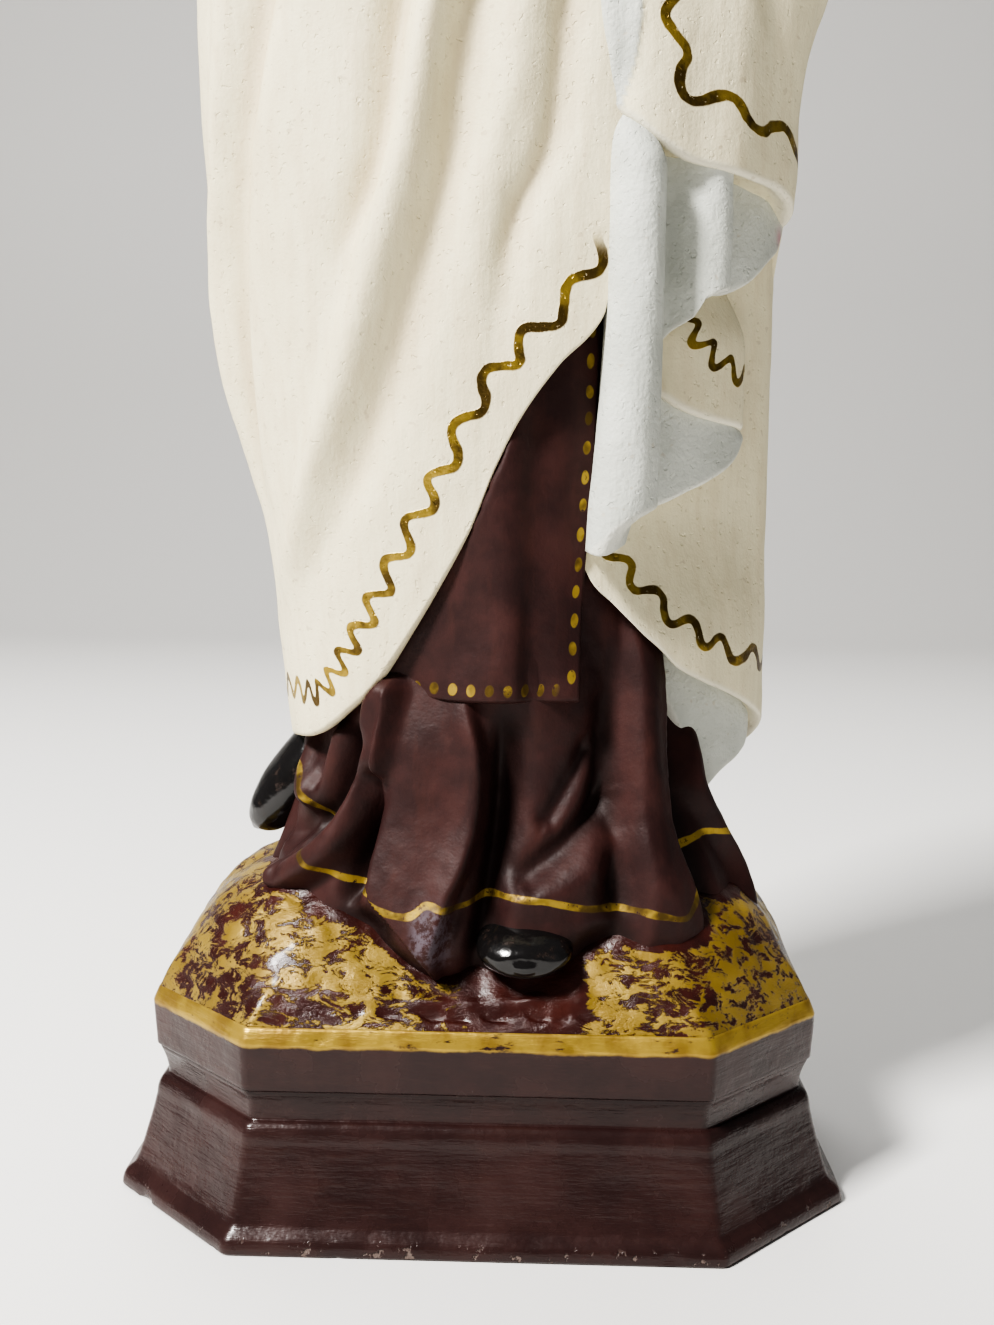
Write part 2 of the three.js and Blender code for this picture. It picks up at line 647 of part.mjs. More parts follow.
function headRadius(angle, up) {
  const s = sin(rad(angle));
  const c = cos(rad(angle));
  const along = c > 0 ? headFront(up) : headBack(up);
  const base = (abs(s / headWide(up)) ** 2.15 + abs(c / along) ** 2.15) ** (-1 / 2.15);
  const x = base * s;
  const face = c > 0 ? 1 : 0;
  const shape = FEATURES.reduce(
    (total, [across, level, rise, wide, tall]) =>
      total + rise * bell(hypot((x - across) / wide, (up - level) / tall)),
    0,
  );
  const oval = hypot(x / 17.6, (up + 6) / 27.6);
  const hair = max(c > 0 ? ramp(oval, 0.97, 1.12) : 1, 0) * ramp(up, -34, -24);
  const parting = 1 - 0.75 * bell(x / 1.7) * face;
  return base + face * shape * (1 - hair) + 3.2 * hair * parting;
}

function head() {
  const ups = [-34, -31, -26.5, -22.5, -20.2, -18.6, -16.9, -14, -11, -8.5, -4.5, -1, 2.5, 7, 13];
  ups.push(19, 25, 31);
  const fronts = steps(16).map((t) => -62 + 124 * t);
  const backs = steps(3).map((t) => 90 + 180 * t);
  const angles = [...fronts, ...backs];
  const bow = rad(HEAD_BOW);
  const yaw = rad(HEAD_TURN);
  const set = (angle, up, radius) => {
    const x = radius * sin(rad(angle));
    const y = -radius * cos(rad(angle));
    const [y1, h1] = [y * cos(bow) - up * sin(bow), up * cos(bow) + y * sin(bow)];
    const [x2, y2] = [x * cos(yaw) - y1 * sin(yaw), x * sin(yaw) + y1 * cos(yaw)];
    return stand(HEAD_AT[0] + x2, HEAD_AT[1] + y2, HEAD_AT[2] + h1);
  };
  const rings = ups.map((up) => angles.map((angle) => set(angle, up, headRadius(angle, up))));
  return drum(rings, set(0, -HEAD_HALF, 0), set(0, HEAD_HALF, 0));
}

function neck() {
  return tube([[0, 0, 436, 15], [0, -1, 448, 13.4], [0, -3, 462, 12.2], [0, -6, 480, 12.4]], 20);
}

// The hood: the mantle carried over the head, open in front from the brow to the collar.
const hoodPlan = plan([
  [442, 48, 48, 28, 37],
  [452, 42, 42, 28, 37.5],
  [460, 37, 37, 28, 36.5],
  [470, 34, 34, 28.5, 36.5],
  [484, 32.6, 32.6, 29.5, 38],
  [500, 32.8, 32.8, 31, 39.5],
  [514, 32, 32, 33.5, 38.5],
  [526, 28.6, 28.6, 34, 34],
  [535, 22.6, 22.6, 29, 27.5],
  [541.5, 15, 15, 20, 18.5],
  [545.4, 5.5, 5.5, 7, 7],
]);

// The opening, from the hand at the waist up to the brow: its left and right edges, degrees.
const openingLeft = track([
  [323, 34], [335, 20], [349, 8], [366, -5], [389, -18], [414, -29], [436, -37], [456, -45],
  [470, -49], [500, -50], [512, -47], [520, -36], [526, -20], [530, -4],
]);
const openingRight = track([
  [323, 38], [335, 41], [366, 43], [389, 43], [414, 43], [436, 43], [456, 47], [470, 50],
  [500, 50], [512, 47], [520, 36], [526, 20], [530, 4],
]);

function opening() {
  const heights = [323, 329, 340, 355, 372, 392, 414, 436, 446, 458, 472, 488, 504, 513, 520, 526, 530];
  const depth = track([[434, 0], [448, 1]]);
  const skin = (outer) =>
    heights.map((height) =>
      steps(8).map((t) => {
        const angle = mix(openingLeft(height), openingRight(height), t);
        const chest = mix(robePlan(angle, height) - 2, 9, depth(height));
        const clear = max(mantleRadius(angle, height), hoodRadius(angle, height)) + 6;
        return place(angle, height, outer ? clear : chest);
      }),
    );
  return slab(skin(true), skin(false));
}

function hoodRadius(angle, height) {
  const side = abs(turn(angle));
  const base = hoodPlan(angle, height);
  const pleat = fold([[442, 96], [460, 84], [486, 74]], -1.6, 4, 4, 12)(side, height, base);
  const behind = ramp(side, 95, 125) * (1 - ramp(height, 450, 480));
  const roll = 1.3 * bell((side - openingRight(height) - 4) / 5) * ramp(height, 440, 470);
  return base + pleat + roll + behind * 2 * cos(rad(12 * angle));
}

function hood() {
  const fronts = steps(16).map((t) => -64 + 128 * t);
  const backs = steps(11).map((t) => 76 + 208 * t);
  const heights = [442, 452, 462, 474, 490, 506, 518, 527, 535, 541, 545];
  const rings = heights.map((height) =>
    [...fronts, ...backs].map((angle) => place(angle, height, hoodRadius(angle, height))),
  );
  return drum(rings, place(0, 446, 0), place(0, 546, 0));
}

function shoes() {
  return [
    tube([
      [11, -30, 29, 10, 7], [11, -42, 27.5, 11.4, 7.6], [10.8, -50, 25.6, 11.6, 7.2],
      [10.6, -56.5, 23.8, 10, 6], [10.4, -60.6, 22.4, 6.4, 4], [10.4, -62, 22, 2, 1.4],
    ], 16),
    tube([
      [-48, 6, 74, 10, 10], [-57, 5, 65, 11, 11], [-66, 4, 55, 10.6, 9.4], [-73, 3, 47.5, 8.4, 6.6],
      [-77, 2, 43.6, 5, 4], [-78.4, 2, 42.6, 1.6, 1.4],
    ], 16),
  ];
}

const veil = mantle().add(hood()).subtract(opening());
const pieces = [
  plinth(), mound(), robe(), scapular(), veil, ...cascade(), ...hands(), head(), neck(), ...shoes(),
];
const whole = pieces.reduce((joined, piece) => joined.add(piece));

const made = whole.getMesh();
const geometry = new THREE.BufferGeometry();
geometry.setAttribute("position", new THREE.BufferAttribute(made.vertProperties, 3));
geometry.setIndex(new THREE.BufferAttribute(made.triVerts, 1));
geometry.computeVertexNormals();

const group = new THREE.Group();
group.name = "praying_figure";
const statue = new THREE.Mesh(geometry, new THREE.MeshStandardMaterial({ color: 0xd8ccb0 }));
statue.name = "statue";
group.add(statue);

export default group;
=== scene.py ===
"""A painted plaster figure: a robed and hooded woman on a mound and an eight-sided plinth.

Every skin is worked out as whole arrays on a grid. The garments are polar: an angle from the front
in degrees, positive towards +X, a height above the plinth's ledge in millimetres, and a radius that
is a rounded-rectangle plan plus ridges and hollows. Meshes are written in metres.
"""

import bpy
import numpy as np
from mathutils import Matrix, Vector


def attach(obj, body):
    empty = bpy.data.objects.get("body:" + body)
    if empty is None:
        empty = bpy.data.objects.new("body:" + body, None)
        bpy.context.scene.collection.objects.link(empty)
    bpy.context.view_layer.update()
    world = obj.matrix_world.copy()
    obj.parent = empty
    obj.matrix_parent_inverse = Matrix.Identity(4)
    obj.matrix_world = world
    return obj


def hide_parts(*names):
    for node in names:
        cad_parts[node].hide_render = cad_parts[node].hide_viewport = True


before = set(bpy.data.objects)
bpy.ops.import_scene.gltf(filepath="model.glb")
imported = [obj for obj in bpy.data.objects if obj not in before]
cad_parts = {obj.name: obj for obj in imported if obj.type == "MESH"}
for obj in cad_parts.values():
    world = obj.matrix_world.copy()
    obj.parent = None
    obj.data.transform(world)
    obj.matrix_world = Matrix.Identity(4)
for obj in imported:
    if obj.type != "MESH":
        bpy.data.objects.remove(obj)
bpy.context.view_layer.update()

# The plinth, millimetres, as in the solid.
PLINTH_FRONT = 130.0
PLINTH_CORNER = 37.3
PLINTH_DEPTH = 145.0
BAND, FLARE, ROLL, COVE, FASCIA = 5.0, 21.0, 5.6, 8.0, 13.9
LEDGE = BAND + FLARE + ROLL + COVE + FASCIA
LEDGE_INSET = 8.8
GILT_HEIGHT, GILT_SLOPE = 4.0, 1.6
GROUND = LEDGE + GILT_HEIGHT
MOUND_HEIGHT = 36.0
HALF_WIDTH = PLINTH_FRONT / 2 + PLINTH_CORNER
HALF_DEPTH = PLINTH_DEPTH / 2


# Arrays and curves.

FAR = 99.0  # mm, beyond every painted line
MEAN_RADIUS = 68.0  # mm, where the run along a line is measured
LONGEST_RUN = 400.0  # mm


def ramp(x, low, high):
    """Smooth step from 0 at low to 1 at high."""
    t = np.clip((x - low) / (high - low), 0.0, 1.0)
    return t * t * (3 - 2 * t)


def bell(x):
    """Bell exp(-x squared)."""
    return np.exp(-np.square(x))


def mix(a, b, t):
    """Straight blend from a to b."""
    return a + (b - a) * t


def melted(a, b, power):
    """The greater of a and b, softened where they meet: (a**power + b**power)**(1 / power)."""
    return (a**power + b**power) ** (1 / power)


def turn(angle):
    """An angle brought between -180 and 180 degrees."""
    return (angle + 180.0) % 360.0 - 180.0


def track(*keys):
    """Smooth curve through (place, value) keys: cubic with mean slopes, level past both ends."""
    x, y = np.array(keys, float).T
    here = np.arange(len(x))
    before, after = np.maximum(here - 1, 0), np.minimum(here + 1, here[-1])
    slope = (y[after] - y[before]) / (x[after] - x[before])

    def at(where):
        where = np.clip(where, x[0], x[-1])
        i = np.clip(np.searchsorted(x, where, side="right") - 1, 0, len(x) - 2)
        span = x[i + 1] - x[i]
        t = (where - x[i]) / span
        t2, t3 = t * t, t * t * t
        return (
            y[i]
            + (y[i + 1] - y[i]) * (3 * t2 - 2 * t3)
            + span * slope[i] * (t3 - 2 * t2 + t)
            + span * slope[i + 1] * (t3 - t2)
        )

    return at


def plan(*rows, power=2.3):
    """Radius of a rounded-rectangle plan whose half sizes follow the height."""
    left, right, front, back = (track(*[(r[0], r[i]) for r in rows]) for i in (1, 2, 3, 4))

    def at(angle, height):
        s, c = np.sin(np.radians(angle)), np.cos(np.radians(angle))
        across = np.where(s > 0, right(height), left(height))
        along = np.where(c > 0, front(height), back(height))
        return (np.abs(s / across) ** power + np.abs(c / along) ** power) ** (-1 / power)

    return at


def between(x, low, high, soft):
    """1 from low to high, with a smooth step of reach soft at either end."""
    return ramp(x, low - soft, low + soft) * (1 - ramp(x, high - soft, high + soft))


def fold(path, rise, left, right, fade=18.0, edge=1.0):
    """Ridge along (height, angle) points: exp(-(distance / width)**(2 edge)), with faded ends."""
    course = track(*path)
    low, high = path[0][0], path[-1][0]

    def at(angle, height, radius):
        across = np.radians(turn(angle - course(height))) * radius
        near = np.abs(across) / np.where(across < 0, left, right)
        return rise * between(height, low, high, fade) * np.exp(-(near ** (2 * edge)))

    return at


def pleat(left, right, rise, soft_left, soft_right):
    """Flat-topped fold between two edges of (height, angle) points, each with its own softness."""
    fade = 14.0
    one, two = track(*left), track(*right)
    low, high = left[0][0], left[-1][0]

    def at(angle, height, radius):
        a = np.radians(turn(angle - one(height))) * radius
        b = np.radians(turn(two(height) - angle)) * radius
        top = ramp(a, -soft_left, soft_left) * ramp(b, -soft_right, soft_right)
        return rise * between(height, low, high, fade) * top

    return at


def ridge(path, rise, left, right, edge=1.0):
    """Ridge of any direction along (angle, height) points, with a width to each hand of its way."""

    def at(angle, height, radius):
        off = along(path, angle, height, radius, False)[1]
        return rise * np.exp(-((np.abs(off) / np.where(off > 0, left, right)) ** (2 * edge)))

    return at


def limb(start, end, rise, width):
    """Soft bump along the line between two (angle, height) places."""

    def at(angle, height, radius):
        x, y = np.radians(turn(angle - start[0])) * radius, height - start[1]
        dx, dy = np.radians(turn(end[0] - start[0])) * radius, end[1] - start[1]
        t = np.clip((x * dx + y * dy) / (dx * dx + dy * dy), 0, 1)
        return rise * bell(np.hypot(x - t * dx, y - t * dy) / width)

    return at


def total(folds, angle, height, radius):
    """Sum of several ridges at the same places."""
    return sum(one(angle, height, radius) for one in folds)


def uneven(points, size, seed):
    """Gentle unevenness between -1 and 1: a sum of sines of a place in mm, in fixed directions."""
    count, gain = 7, 1.6
    rng = np.random.default_rng(seed)
    turns = rng.normal(size=(count, 3))
    turns /= np.linalg.norm(turns, axis=1)[:, None]
    scale = 2 * np.pi / (size * rng.uniform(0.7, 1.5, count))
    phase = rng.uniform(0, 2 * np.pi, count)
    return np.sin(points @ (turns * scale[:, None]).T + phase).sum(axis=-1) / count * gain


def place(angle, height, radius):
    """Polar place on the figure to x, y, z."""
    a = np.radians(angle)
    angle, height, radius = np.broadcast_arrays(angle, height, radius)
    return np.stack([radius * np.sin(a), -radius * np.cos(a), LEDGE + height + 0 * a], axis=-1)


def polar(points):
    """Angle, height and radius of x, y, z places on the figure."""
    x, y, z = points.T
    return np.degrees(np.arctan2(x, -y)), z - LEDGE, np.hypot(x, y)


def along(path, angle, height, radius, cut=True):
    """Run along a smooth (angle, height) path and distance from it, positive to its left, in mm.

    The path is laid out flat at the local radius; each point takes its nearest piece of the path.
    With cut, a point beyond either end counts as far away.
    """
    keys = np.array(path, float)
    pieces = 12 * (len(keys) - 1)
    t = np.linspace(0, len(keys) - 1, pieces + 1)
    a, h = (track(*enumerate(values))(t) for values in keys.T)
    shape = np.broadcast(angle, height, radius).shape
    angle, height, radius = (np.broadcast_to(v, shape).ravel() for v in (angle, height, radius))
    best = np.full(angle.shape, np.inf)
    run, side, done = np.zeros_like(best), np.zeros_like(best), 0.0
    scale = np.radians(radius)
    for i in range(pieces):
        x, y = turn(angle - a[i]) * scale, height - h[i]
        dx, dy = (a[i + 1] - a[i]) * scale, h[i + 1] - h[i]
        length = np.hypot(dx, dy)
        free = (x * dx + y * dy) / length**2
        s = np.clip(free, 0, 1)
        off = np.hypot(x - s * dx, y - s * dy)
        near = off < best
        best = np.where(near, off, best)
        past = ((i == 0) & (free < 0)) | ((i == pieces - 1) & (free > 1))
        off = np.where(past & cut, FAR, off)
        side = np.where(near, np.where(dx * y - dy * x >= 0, off, -off), side)
        run = np.where(near, done + s * length, run)
        done += np.hypot((a[i + 1] - a[i]) * np.radians(MEAN_RADIUS), dy)
    return run.reshape(shape), side.reshape(shape)


def cycles(run, *periods):
    """Number of waves up to a run, for a period that follows (run, period) keys."""
    at, step = np.linspace(0, LONGEST_RUN, 801, retstep=True)
    return np.interp(run, at, np.cumsum(step / track(*periods)(at)))


# Meshes.


def grid_faces(rows, cols, wrap=True):
    """Quads of a grid of rows of points, closed round or not, as point numbers."""
    r, c = np.meshgrid(np.arange(rows - 1), np.arange(cols if wrap else cols - 1), indexing="ij")
    n = (c + 1) % cols
    quads = [r * cols + c, r * cols + n, (r + 1) * cols + n, (r + 1) * cols + c]
    return np.stack(quads, -1).reshape(-1, 4)


def added(name, data):
    """A new object of the scene with its data."""
    thing = bpy.data.objects.new(name, data)
    bpy.context.scene.collection.objects.link(thing)
    return thing


def mesh(name, points, quads, triangles=(), layers=None):
    """A mesh piece from points in mm and faces; layers are per-point arrays kept as attributes."""
    points = np.asarray(points, float).reshape(-1, 3)
    loops = np.concatenate([quads.ravel(), np.ravel(triangles)]).astype(np.int32)
    sizes = np.repeat([4, 3], [len(quads), len(triangles)])
    data = bpy.data.meshes.new(name)
    data.vertices.add(len(points))
    data.vertices.foreach_set("co", (points * 0.001).astype(np.float32).ravel())
    data.loops.add(len(loops))
    data.loops.foreach_set("vertex_index", loops)
    data.polygons.add(len(sizes))
    data.polygons.foreach_set("loop_start", (np.cumsum(sizes) - sizes).astype(np.int32))
    data.polygons.foreach_set("loop_total", sizes.astype(np.int32))
    data.update(calc_edges=True)
    data.validate()
    data.shade_smooth()
    for key, values in (layers or {}).items():
        attribute = data.attributes.new(key, "FLOAT", "POINT")
        attribute.data.foreach_set("value", np.asarray(values, np.float32).ravel())
    return added(name, data)


def drum(rings, bottom, top):
    """Points and faces of stacked closed rings with a pole at each end."""
    rows, cols = rings.shape[:2]
    points = np.concatenate([rings.reshape(-1, 3), [bottom], [top]])
    i = np.arange(cols)
    n = (i + 1) % cols
    low = np.stack([np.full(cols, rows * cols), n, i], -1)
    last = (rows - 1) * cols
    high = np.stack([np.full(cols, rows * cols + 1), last + i, last + n], -1)
    return points, grid_faces(rows, cols), np.concatenate([low, high])


def capped(values, shape, bottom=0.0, top=0.0):
    """A per-point array of a drum: the values on its rings, then those at its two poles."""
    return np.append(np.broadcast_to(values, shape).ravel(), [bottom, top])


def joined(parts):
    """Several (points, quads, triangles, layers) sets as one, with every layer filled in."""
    keys = sorted({key for part in parts for key in part[3]})
    points, quads, triangles, base = [], [], [], 0
    layers = {key: [] for key in keys}
    for pts, qs, ts, have in parts:
        points.append(pts)
        quads.append(qs + base)
        triangles.append(ts + base)
        for key in keys:
            layers[key].append(have.get(key, np.zeros(len(pts))))
        base += len(pts)
    return (
        np.concatenate(points),
        np.concatenate(quads),
        np.concatenate(triangles),
        {key: np.concatenate(values) for key, values in layers.items()},
    )


def finish(piece, material):
    """Give a piece its finish, set it on the root body and let it stand for the solid."""
    piece.data.materials.append(material)
    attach(piece, "root")
    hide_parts("statue")


# Plinth and mound.

CORNER_SOFT = 1.5  # mm, reach of the rounding at the plinth's corners
OUTLINE_STEPS = (64, 26, 34, 26) * 2


def outline_sizes(inset):
    """Half width, half depth and corner cut of the outline drawn in by inset."""
    return HALF_WIDTH - inset, HALF_DEPTH - inset, PLINTH_CORNER - inset * (2 - np.sqrt(2))


def corners(inset):
    """The eight corners of the cut-corner outline drawn in by inset, for each inset given."""
    x, y, cut = outline_sizes(inset)
    u, v = x - cut, y - cut
    places = ((-u, -y), (u, -y), (x, -v), (x, v), (u, y), (-u, y), (-x, v), (-x, -v))
    return np.stack([np.stack(p, -1) for p in places], 1)


def rounded_outline(inset):
    """Outline rings: straight sides, and a parabola across every corner."""
    at = corners(inset)
    rings = []
    for j, count in enumerate(OUTLINE_STEPS):
        here, after, before = at[:, j], at[:, (j + 1) % 8], at[:, j - 1]
        ahead = (after - here) / np.linalg.norm(after - here, axis=1)[:, None]
        behind = (before - here) / np.linalg.norm(before - here, axis=1)[:, None]
        start, end = here + ahead * CORNER_SOFT, after - ahead * CORNER_SOFT
        t = np.linspace(0, 1, 7)[None, :, None]
        back, on = behind[:, None] * CORNER_SOFT, ahead[:, None] * CORNER_SOFT
        bend = here[:, None] + back * (1 - t) ** 2 + on * t**2
        t = (np.arange(1, count) / count)[None, :, None]
        rings += [bend, mix(start[:, None], end[:, None], t)]
    return np.concatenate(rings, axis=1)


def plinth_points():
    """Moulding rows of (inset, height), one outline ring each, with chips at the foot and the edge.

    From below: foot band, hollow flare, rounded shoulder, cove, fascia and gilt bevel.
    """
    t = np.linspace(0, 1, 26)[1:]
    flare = np.stack([2.5 + 6.8 * t**0.72, BAND + 0.3 + (FLARE - 0.3) * t], -1)
    t = np.linspace(0, 1, 12)[1:]
    z = BAND + FLARE
    roll = np.stack([9.3 + 3.1 * (1 - np.cos(t * np.pi / 2)), z + ROLL * np.sin(t * np.pi / 2)], -1)
    z = BAND + FLARE + ROLL
    cove = np.stack([12.4 - 2.0 * t**2, z + COVE * t], -1)
    z += COVE
    t = np.linspace(0, 1, 20)
    fascia = np.stack([9.45 - 0.65 * t, z + 1.4 + (FASCIA - 2.0) * t], -1)
    rows = np.concatenate(
        [
            [(1.0, 0.0), (0.35, 0.2), (0.05, 0.8), (0.1, 2.0), (0.4, 3.2), (0.9, 4.2), (1.6, 4.9)],
            flare, roll, cove,
            [(10.55, z + 0.5), (10.0, z + 0.8), (9.6, z + 1.1)],
            fascia,
            [(8.75, LEDGE - 0.2), (8.85, LEDGE + 0.3), (9.2, LEDGE + 1.2), (9.7, LEDGE + 2.4)],
            [(10.1, LEDGE + 3.4), (10.5, GROUND), (11.6, GROUND + 0.1), (14.0, GROUND - 3.0)],
        ]
    )
    rings = rounded_outline(rows[:, 0])
    z = np.repeat(rows[:, 1:2], rings.shape[1], 1)
    points = np.concatenate([rings, z[..., None]], -1)
    wobble = 0.22 * uneven(points, 46, 3) + 0.1 * uneven(points, 12, 4)
    nick = ramp(uneven(points, 7.5, 5) + 0.3 * uneven(points, 3.0, 6), 0.62, 1.0)
    nick = nick * (1 - ramp(z, 3.5, 8.5))
    edge = ramp(uneven(points, 9.0, 15), 0.7, 1.0) * bell((z - LEDGE - 0.6) / 1.6)
    out = points[..., :2] / np.linalg.norm(points[..., :2], axis=-1)[..., None]
    points[..., :2] += out * (wobble * ramp(z, 0, 4) - 0.9 * nick - 0.7 * edge)[..., None]
    return drum(points, (0, 0, 0.0), (0, 0, GROUND - 6))


def rim(angle, inset, soft):
    """Distance from the axis to the cut-corner outline along an angle, its corners eased by soft.

    The eased form is the power mean of the distances to the three kinds of side.
    """
    s, c = np.abs(np.sin(np.radians(angle))), np.abs(np.cos(np.radians(angle)))
    x, y, cut = outline_sizes(inset)
    sides = [x / np.maximum(s, 1e-6), y / np.maximum(c, 1e-6), (x + y - cut) / (s + c)]
    eased = sum(one ** -16.0 for one in sides) ** (-1 / 16)
    return mix(np.minimum.reduce(sides), eased * 1.012, soft)


shoulder = track((0, 2.1), (25, 2.6), (53, 4.8), (80, 6.4), (105, 6.4), (140, 4.2), (180, 3.2))


def mound_height(angle, share):
    """Dome 1 - share**power over the outline, squarer at the sides, with boulders."""
    ring = 4 * share * (1 - share)
    five, nine = np.sin(np.radians(5 * angle + 40)), np.sin(np.radians(9 * angle - 70))
    dome = MOUND_HEIGHT * (1 - share ** shoulder(np.abs(turn(angle))))
    return dome + ring * (1.5 * five + 1.1 * nine * share)


def mound_points():
    """Dome on rings drawn in from the outline, with lumps, ripples and a nicked front groove."""
    angle = np.linspace(-180, 180, 521)[:-1][None]
    share = np.concatenate([[1.0, 1.0, 0.997], np.linspace(0.99, 0.3, 90)])[:, None]
    reach = rim(angle, LEDGE_INSET + GILT_SLOPE + 0.3, 1 - ramp(share, 0.9, 0.985)) * share
    z = GROUND + mound_height(angle, share)
    s, c = np.sin(np.radians(angle)), np.cos(np.radians(angle))
    points = np.stack([reach * s, -reach * c, z], -1)
    mid = ramp(1 - share, 0.01, 0.08)
    points[..., 2] += mid * (
        0.9 * uneven(points, 26, 7) + 0.45 * uneven(points, 9, 8) + 0.16 * uneven(points, 3.2, 9)
    )
    front = 1 - ramp(np.abs(angle + 4), 24, 40)
    groove = bell((share - 0.955) / 0.014) * front * ramp(uneven(points, 5.0, 10), -0.35, 0.3)
    points[..., 2] += 0.9 * bell((share - 0.925) / 0.02) * front - 1.3 * groove
    points[0, :, 2] = GROUND - 4
    return (*drum(points, (0, 0, GROUND - 4), (0, 0, GROUND + 20)), capped(groove, z.shape))


def mound_layers(made):
    """The mound's groove, and where it is bare: beside the robe and round the shoe."""
    points, quads, triangles, groove = made
    angle, height, reach = polar(points)
    gap = reach - robe_radius(angle, height)
    shoe = np.hypot((points[:, 0] - 12) / 14.5, (points[:, 1] + 55) / 9.5) - 1
    bare = 1 - np.minimum(ramp(gap, 0.3, 3.2), ramp(shoe, 0.0, 0.25))
    return points, quads, triangles, {"groove": groove, "bare": bare}


# Garments.

MANTLE_CLEARANCE = 1.8  # mm between the mantle and what it covers
HEM_ROLL = 1.3  # mm, the rounding of a hem
SCAPULAR_FOOT, SCAPULAR_TOP = 88.6, 446.0
SCAPULAR_CORE = 24.0  # mm, the radius of its hidden inner face

robe_plan = plan(
    (8, 56, 64, 44, 50), (16, 66, 76, 52, 58), (24, 66, 76, 56, 57), (36, 60, 72, 53, 54),
    (60, 52, 62, 46, 50), (100, 46, 52, 42, 46), (150, 46, 48, 42, 46), (200, 50, 52, 42, 46),
    (250, 54, 56, 42, 46), (300, 56, 58, 42, 46), (340, 54, 56, 41, 44), (380, 50, 52, 37, 40),
    (410, 44, 46, 32, 36), (435, 33, 34, 26, 30), (448, 21, 21, 20, 20), (456, 15, 15, 16, 15),
)

ROBE_FOLDS = [
    pleat(
        [(14, -13), (21.5, -15.5), (30, -24), (37, -31), (56, -31.8), (72, -32.5), (88, -31)],
        [(14, -12), (21.5, -11), (38, -7), (45, -3.8), (58, 0), (74, 0.4), (88, -4)], 4.4, 0.9, 1.6,
    ),
    fold(
        [(14, -14), (21.5, -13), (37.7, -9), (45, -5.8), (58, -2), (74, -1.6), (88, -6)], 2.3, 4.4,
        2.4,
    ),
    fold([(14, -3), (26, -0.5), (41, 2.5), (61.5, 6), (83, 7)], -6.2, 3.2, 6),
    ridge([(-33.8, 66), (-35.5, 55), (-37.5, 45), (-39, 36)], -6.5, 3.0, 3.4),
    fold([(8, -30), (20, -31), (31, -36)], -7, 10, 9, 5),
    fold([(8, 33), (20, 33), (27, 33)], -6, 9, 9, 5),
    ridge(
        [
            (-34, 90), (-35.4, 82.7), (-36.4, 69.2), (-41, 55.3), (-48, 46.2), (-56.7, 39.6),
            (-60, 37.4),
        ],
        8.2, 5.0, 4.6, 1.8,
    ),
    ridge([(-43, 76), (-48, 64), (-58, 54), (-68, 47)], -5.8, 4.4, 5),
    ridge([(-78, 76), (-70, 63), (-62, 58), (-56, 62), (-52, 76)], 4.2, 4, 4, 1.4),
    pleat([(30, -76), (66, -74)], [(30, -60), (66, -64)], 3.0, 1.5, 1.5),
    ridge([(14, 41.5), (17, 44), (26, 49.4), (37, 58), (41, 62)], -3.4, 4.2, 2.0),
    ridge([(10, 37), (20, 39), (30, 44), (38, 50)], 3.4, 4.5, 6),
    ridge([(22, 57), (25.2, 60.9), (31.8, 69.6), (35, 75)], -2.2, 3.5, 2.0),
    pleat(
        [(26, 42), (39, 43.1), (54, 43.9), (72.6, 46), (94, 48.8), (110, 50)],
        [(26, 57.5), (37, 57), (53, 55.5), (71, 58.2), (93, 63), (110, 64)], 4.6, 1.4, 1.6,
    ),
    fold([(26, 50), (40, 48), (72, 50), (104, 54)], 2.4, 5, 5),
    fold([(24, 38), (54, 40.5), (94, 45)], -4.4, 6, 2.6),
    fold([(20, 64), (46, 63), (90, 68)], -5, 4, 3.4),
    fold([(16, 74), (36, 82), (52, 76), (64, 72), (84, 79)], 5.4, 4.4, 4.4, 14, 1.4),
    fold([(12, 95), (50, 98), (90, 96)], -4, 6, 6),
    fold([(10, -86), (40, -84), (70, -82)], 4, 7, 5, 14),
]
knee = limb((12, 90), (-2, 190), 4.5, 13)


def at_back(angle, height, sides, top):
    """1 at the back, with smooth steps to 0 past the sides and above the top."""
    return ramp(np.abs(turn(angle)), *sides) * (1 - ramp(height, *top))


def robe_radius(angle, height):
    """Plan, carved folds, pleats behind and the knee."""
    base = robe_plan(angle, height)
    swing = np.cos(np.radians(11 * angle + 25))
    pleats = at_back(angle, height, (95, 120), (60, 110)) * 2.6 * swing
    return base + total(ROBE_FOLDS, angle, height, base) + pleats + knee(angle, height, base)


def under_mantle(angle, height, radius):
    """A radius kept inside the mantle wherever the mantle covers it."""
    clear = 60 * ramp(mantle_hem(angle) - height, 0, 9) - MANTLE_CLEARANCE
    return np.minimum(radius, np.where(height < 300, mantle_radius(angle, height) + clear, radius))


def robe_points():
    """Robe rings from the trailing hem to the neck."""
    angle = np.linspace(-180, 180, 481)[:-1][None]
    spans = ((8, 118, 112), (124, 330, 12), (334, 440, 36), (441, 455.4, 14))
    height = np.concatenate([np.linspace(*span) for span in spans])[:, None]
    radius = under_mantle(angle, height, robe_radius(angle, height))
    points = place(angle, height, radius)
    radius = radius + 0.22 * uneven(points, 17, 21) + 0.1 * uneven(points, 6, 22)
    collar = 1.1 * bell((height - 449) / 1.8)
    return drum(place(angle, height, radius + collar), (0, 0, LEDGE + 6), (0, 0, LEDGE + 452))


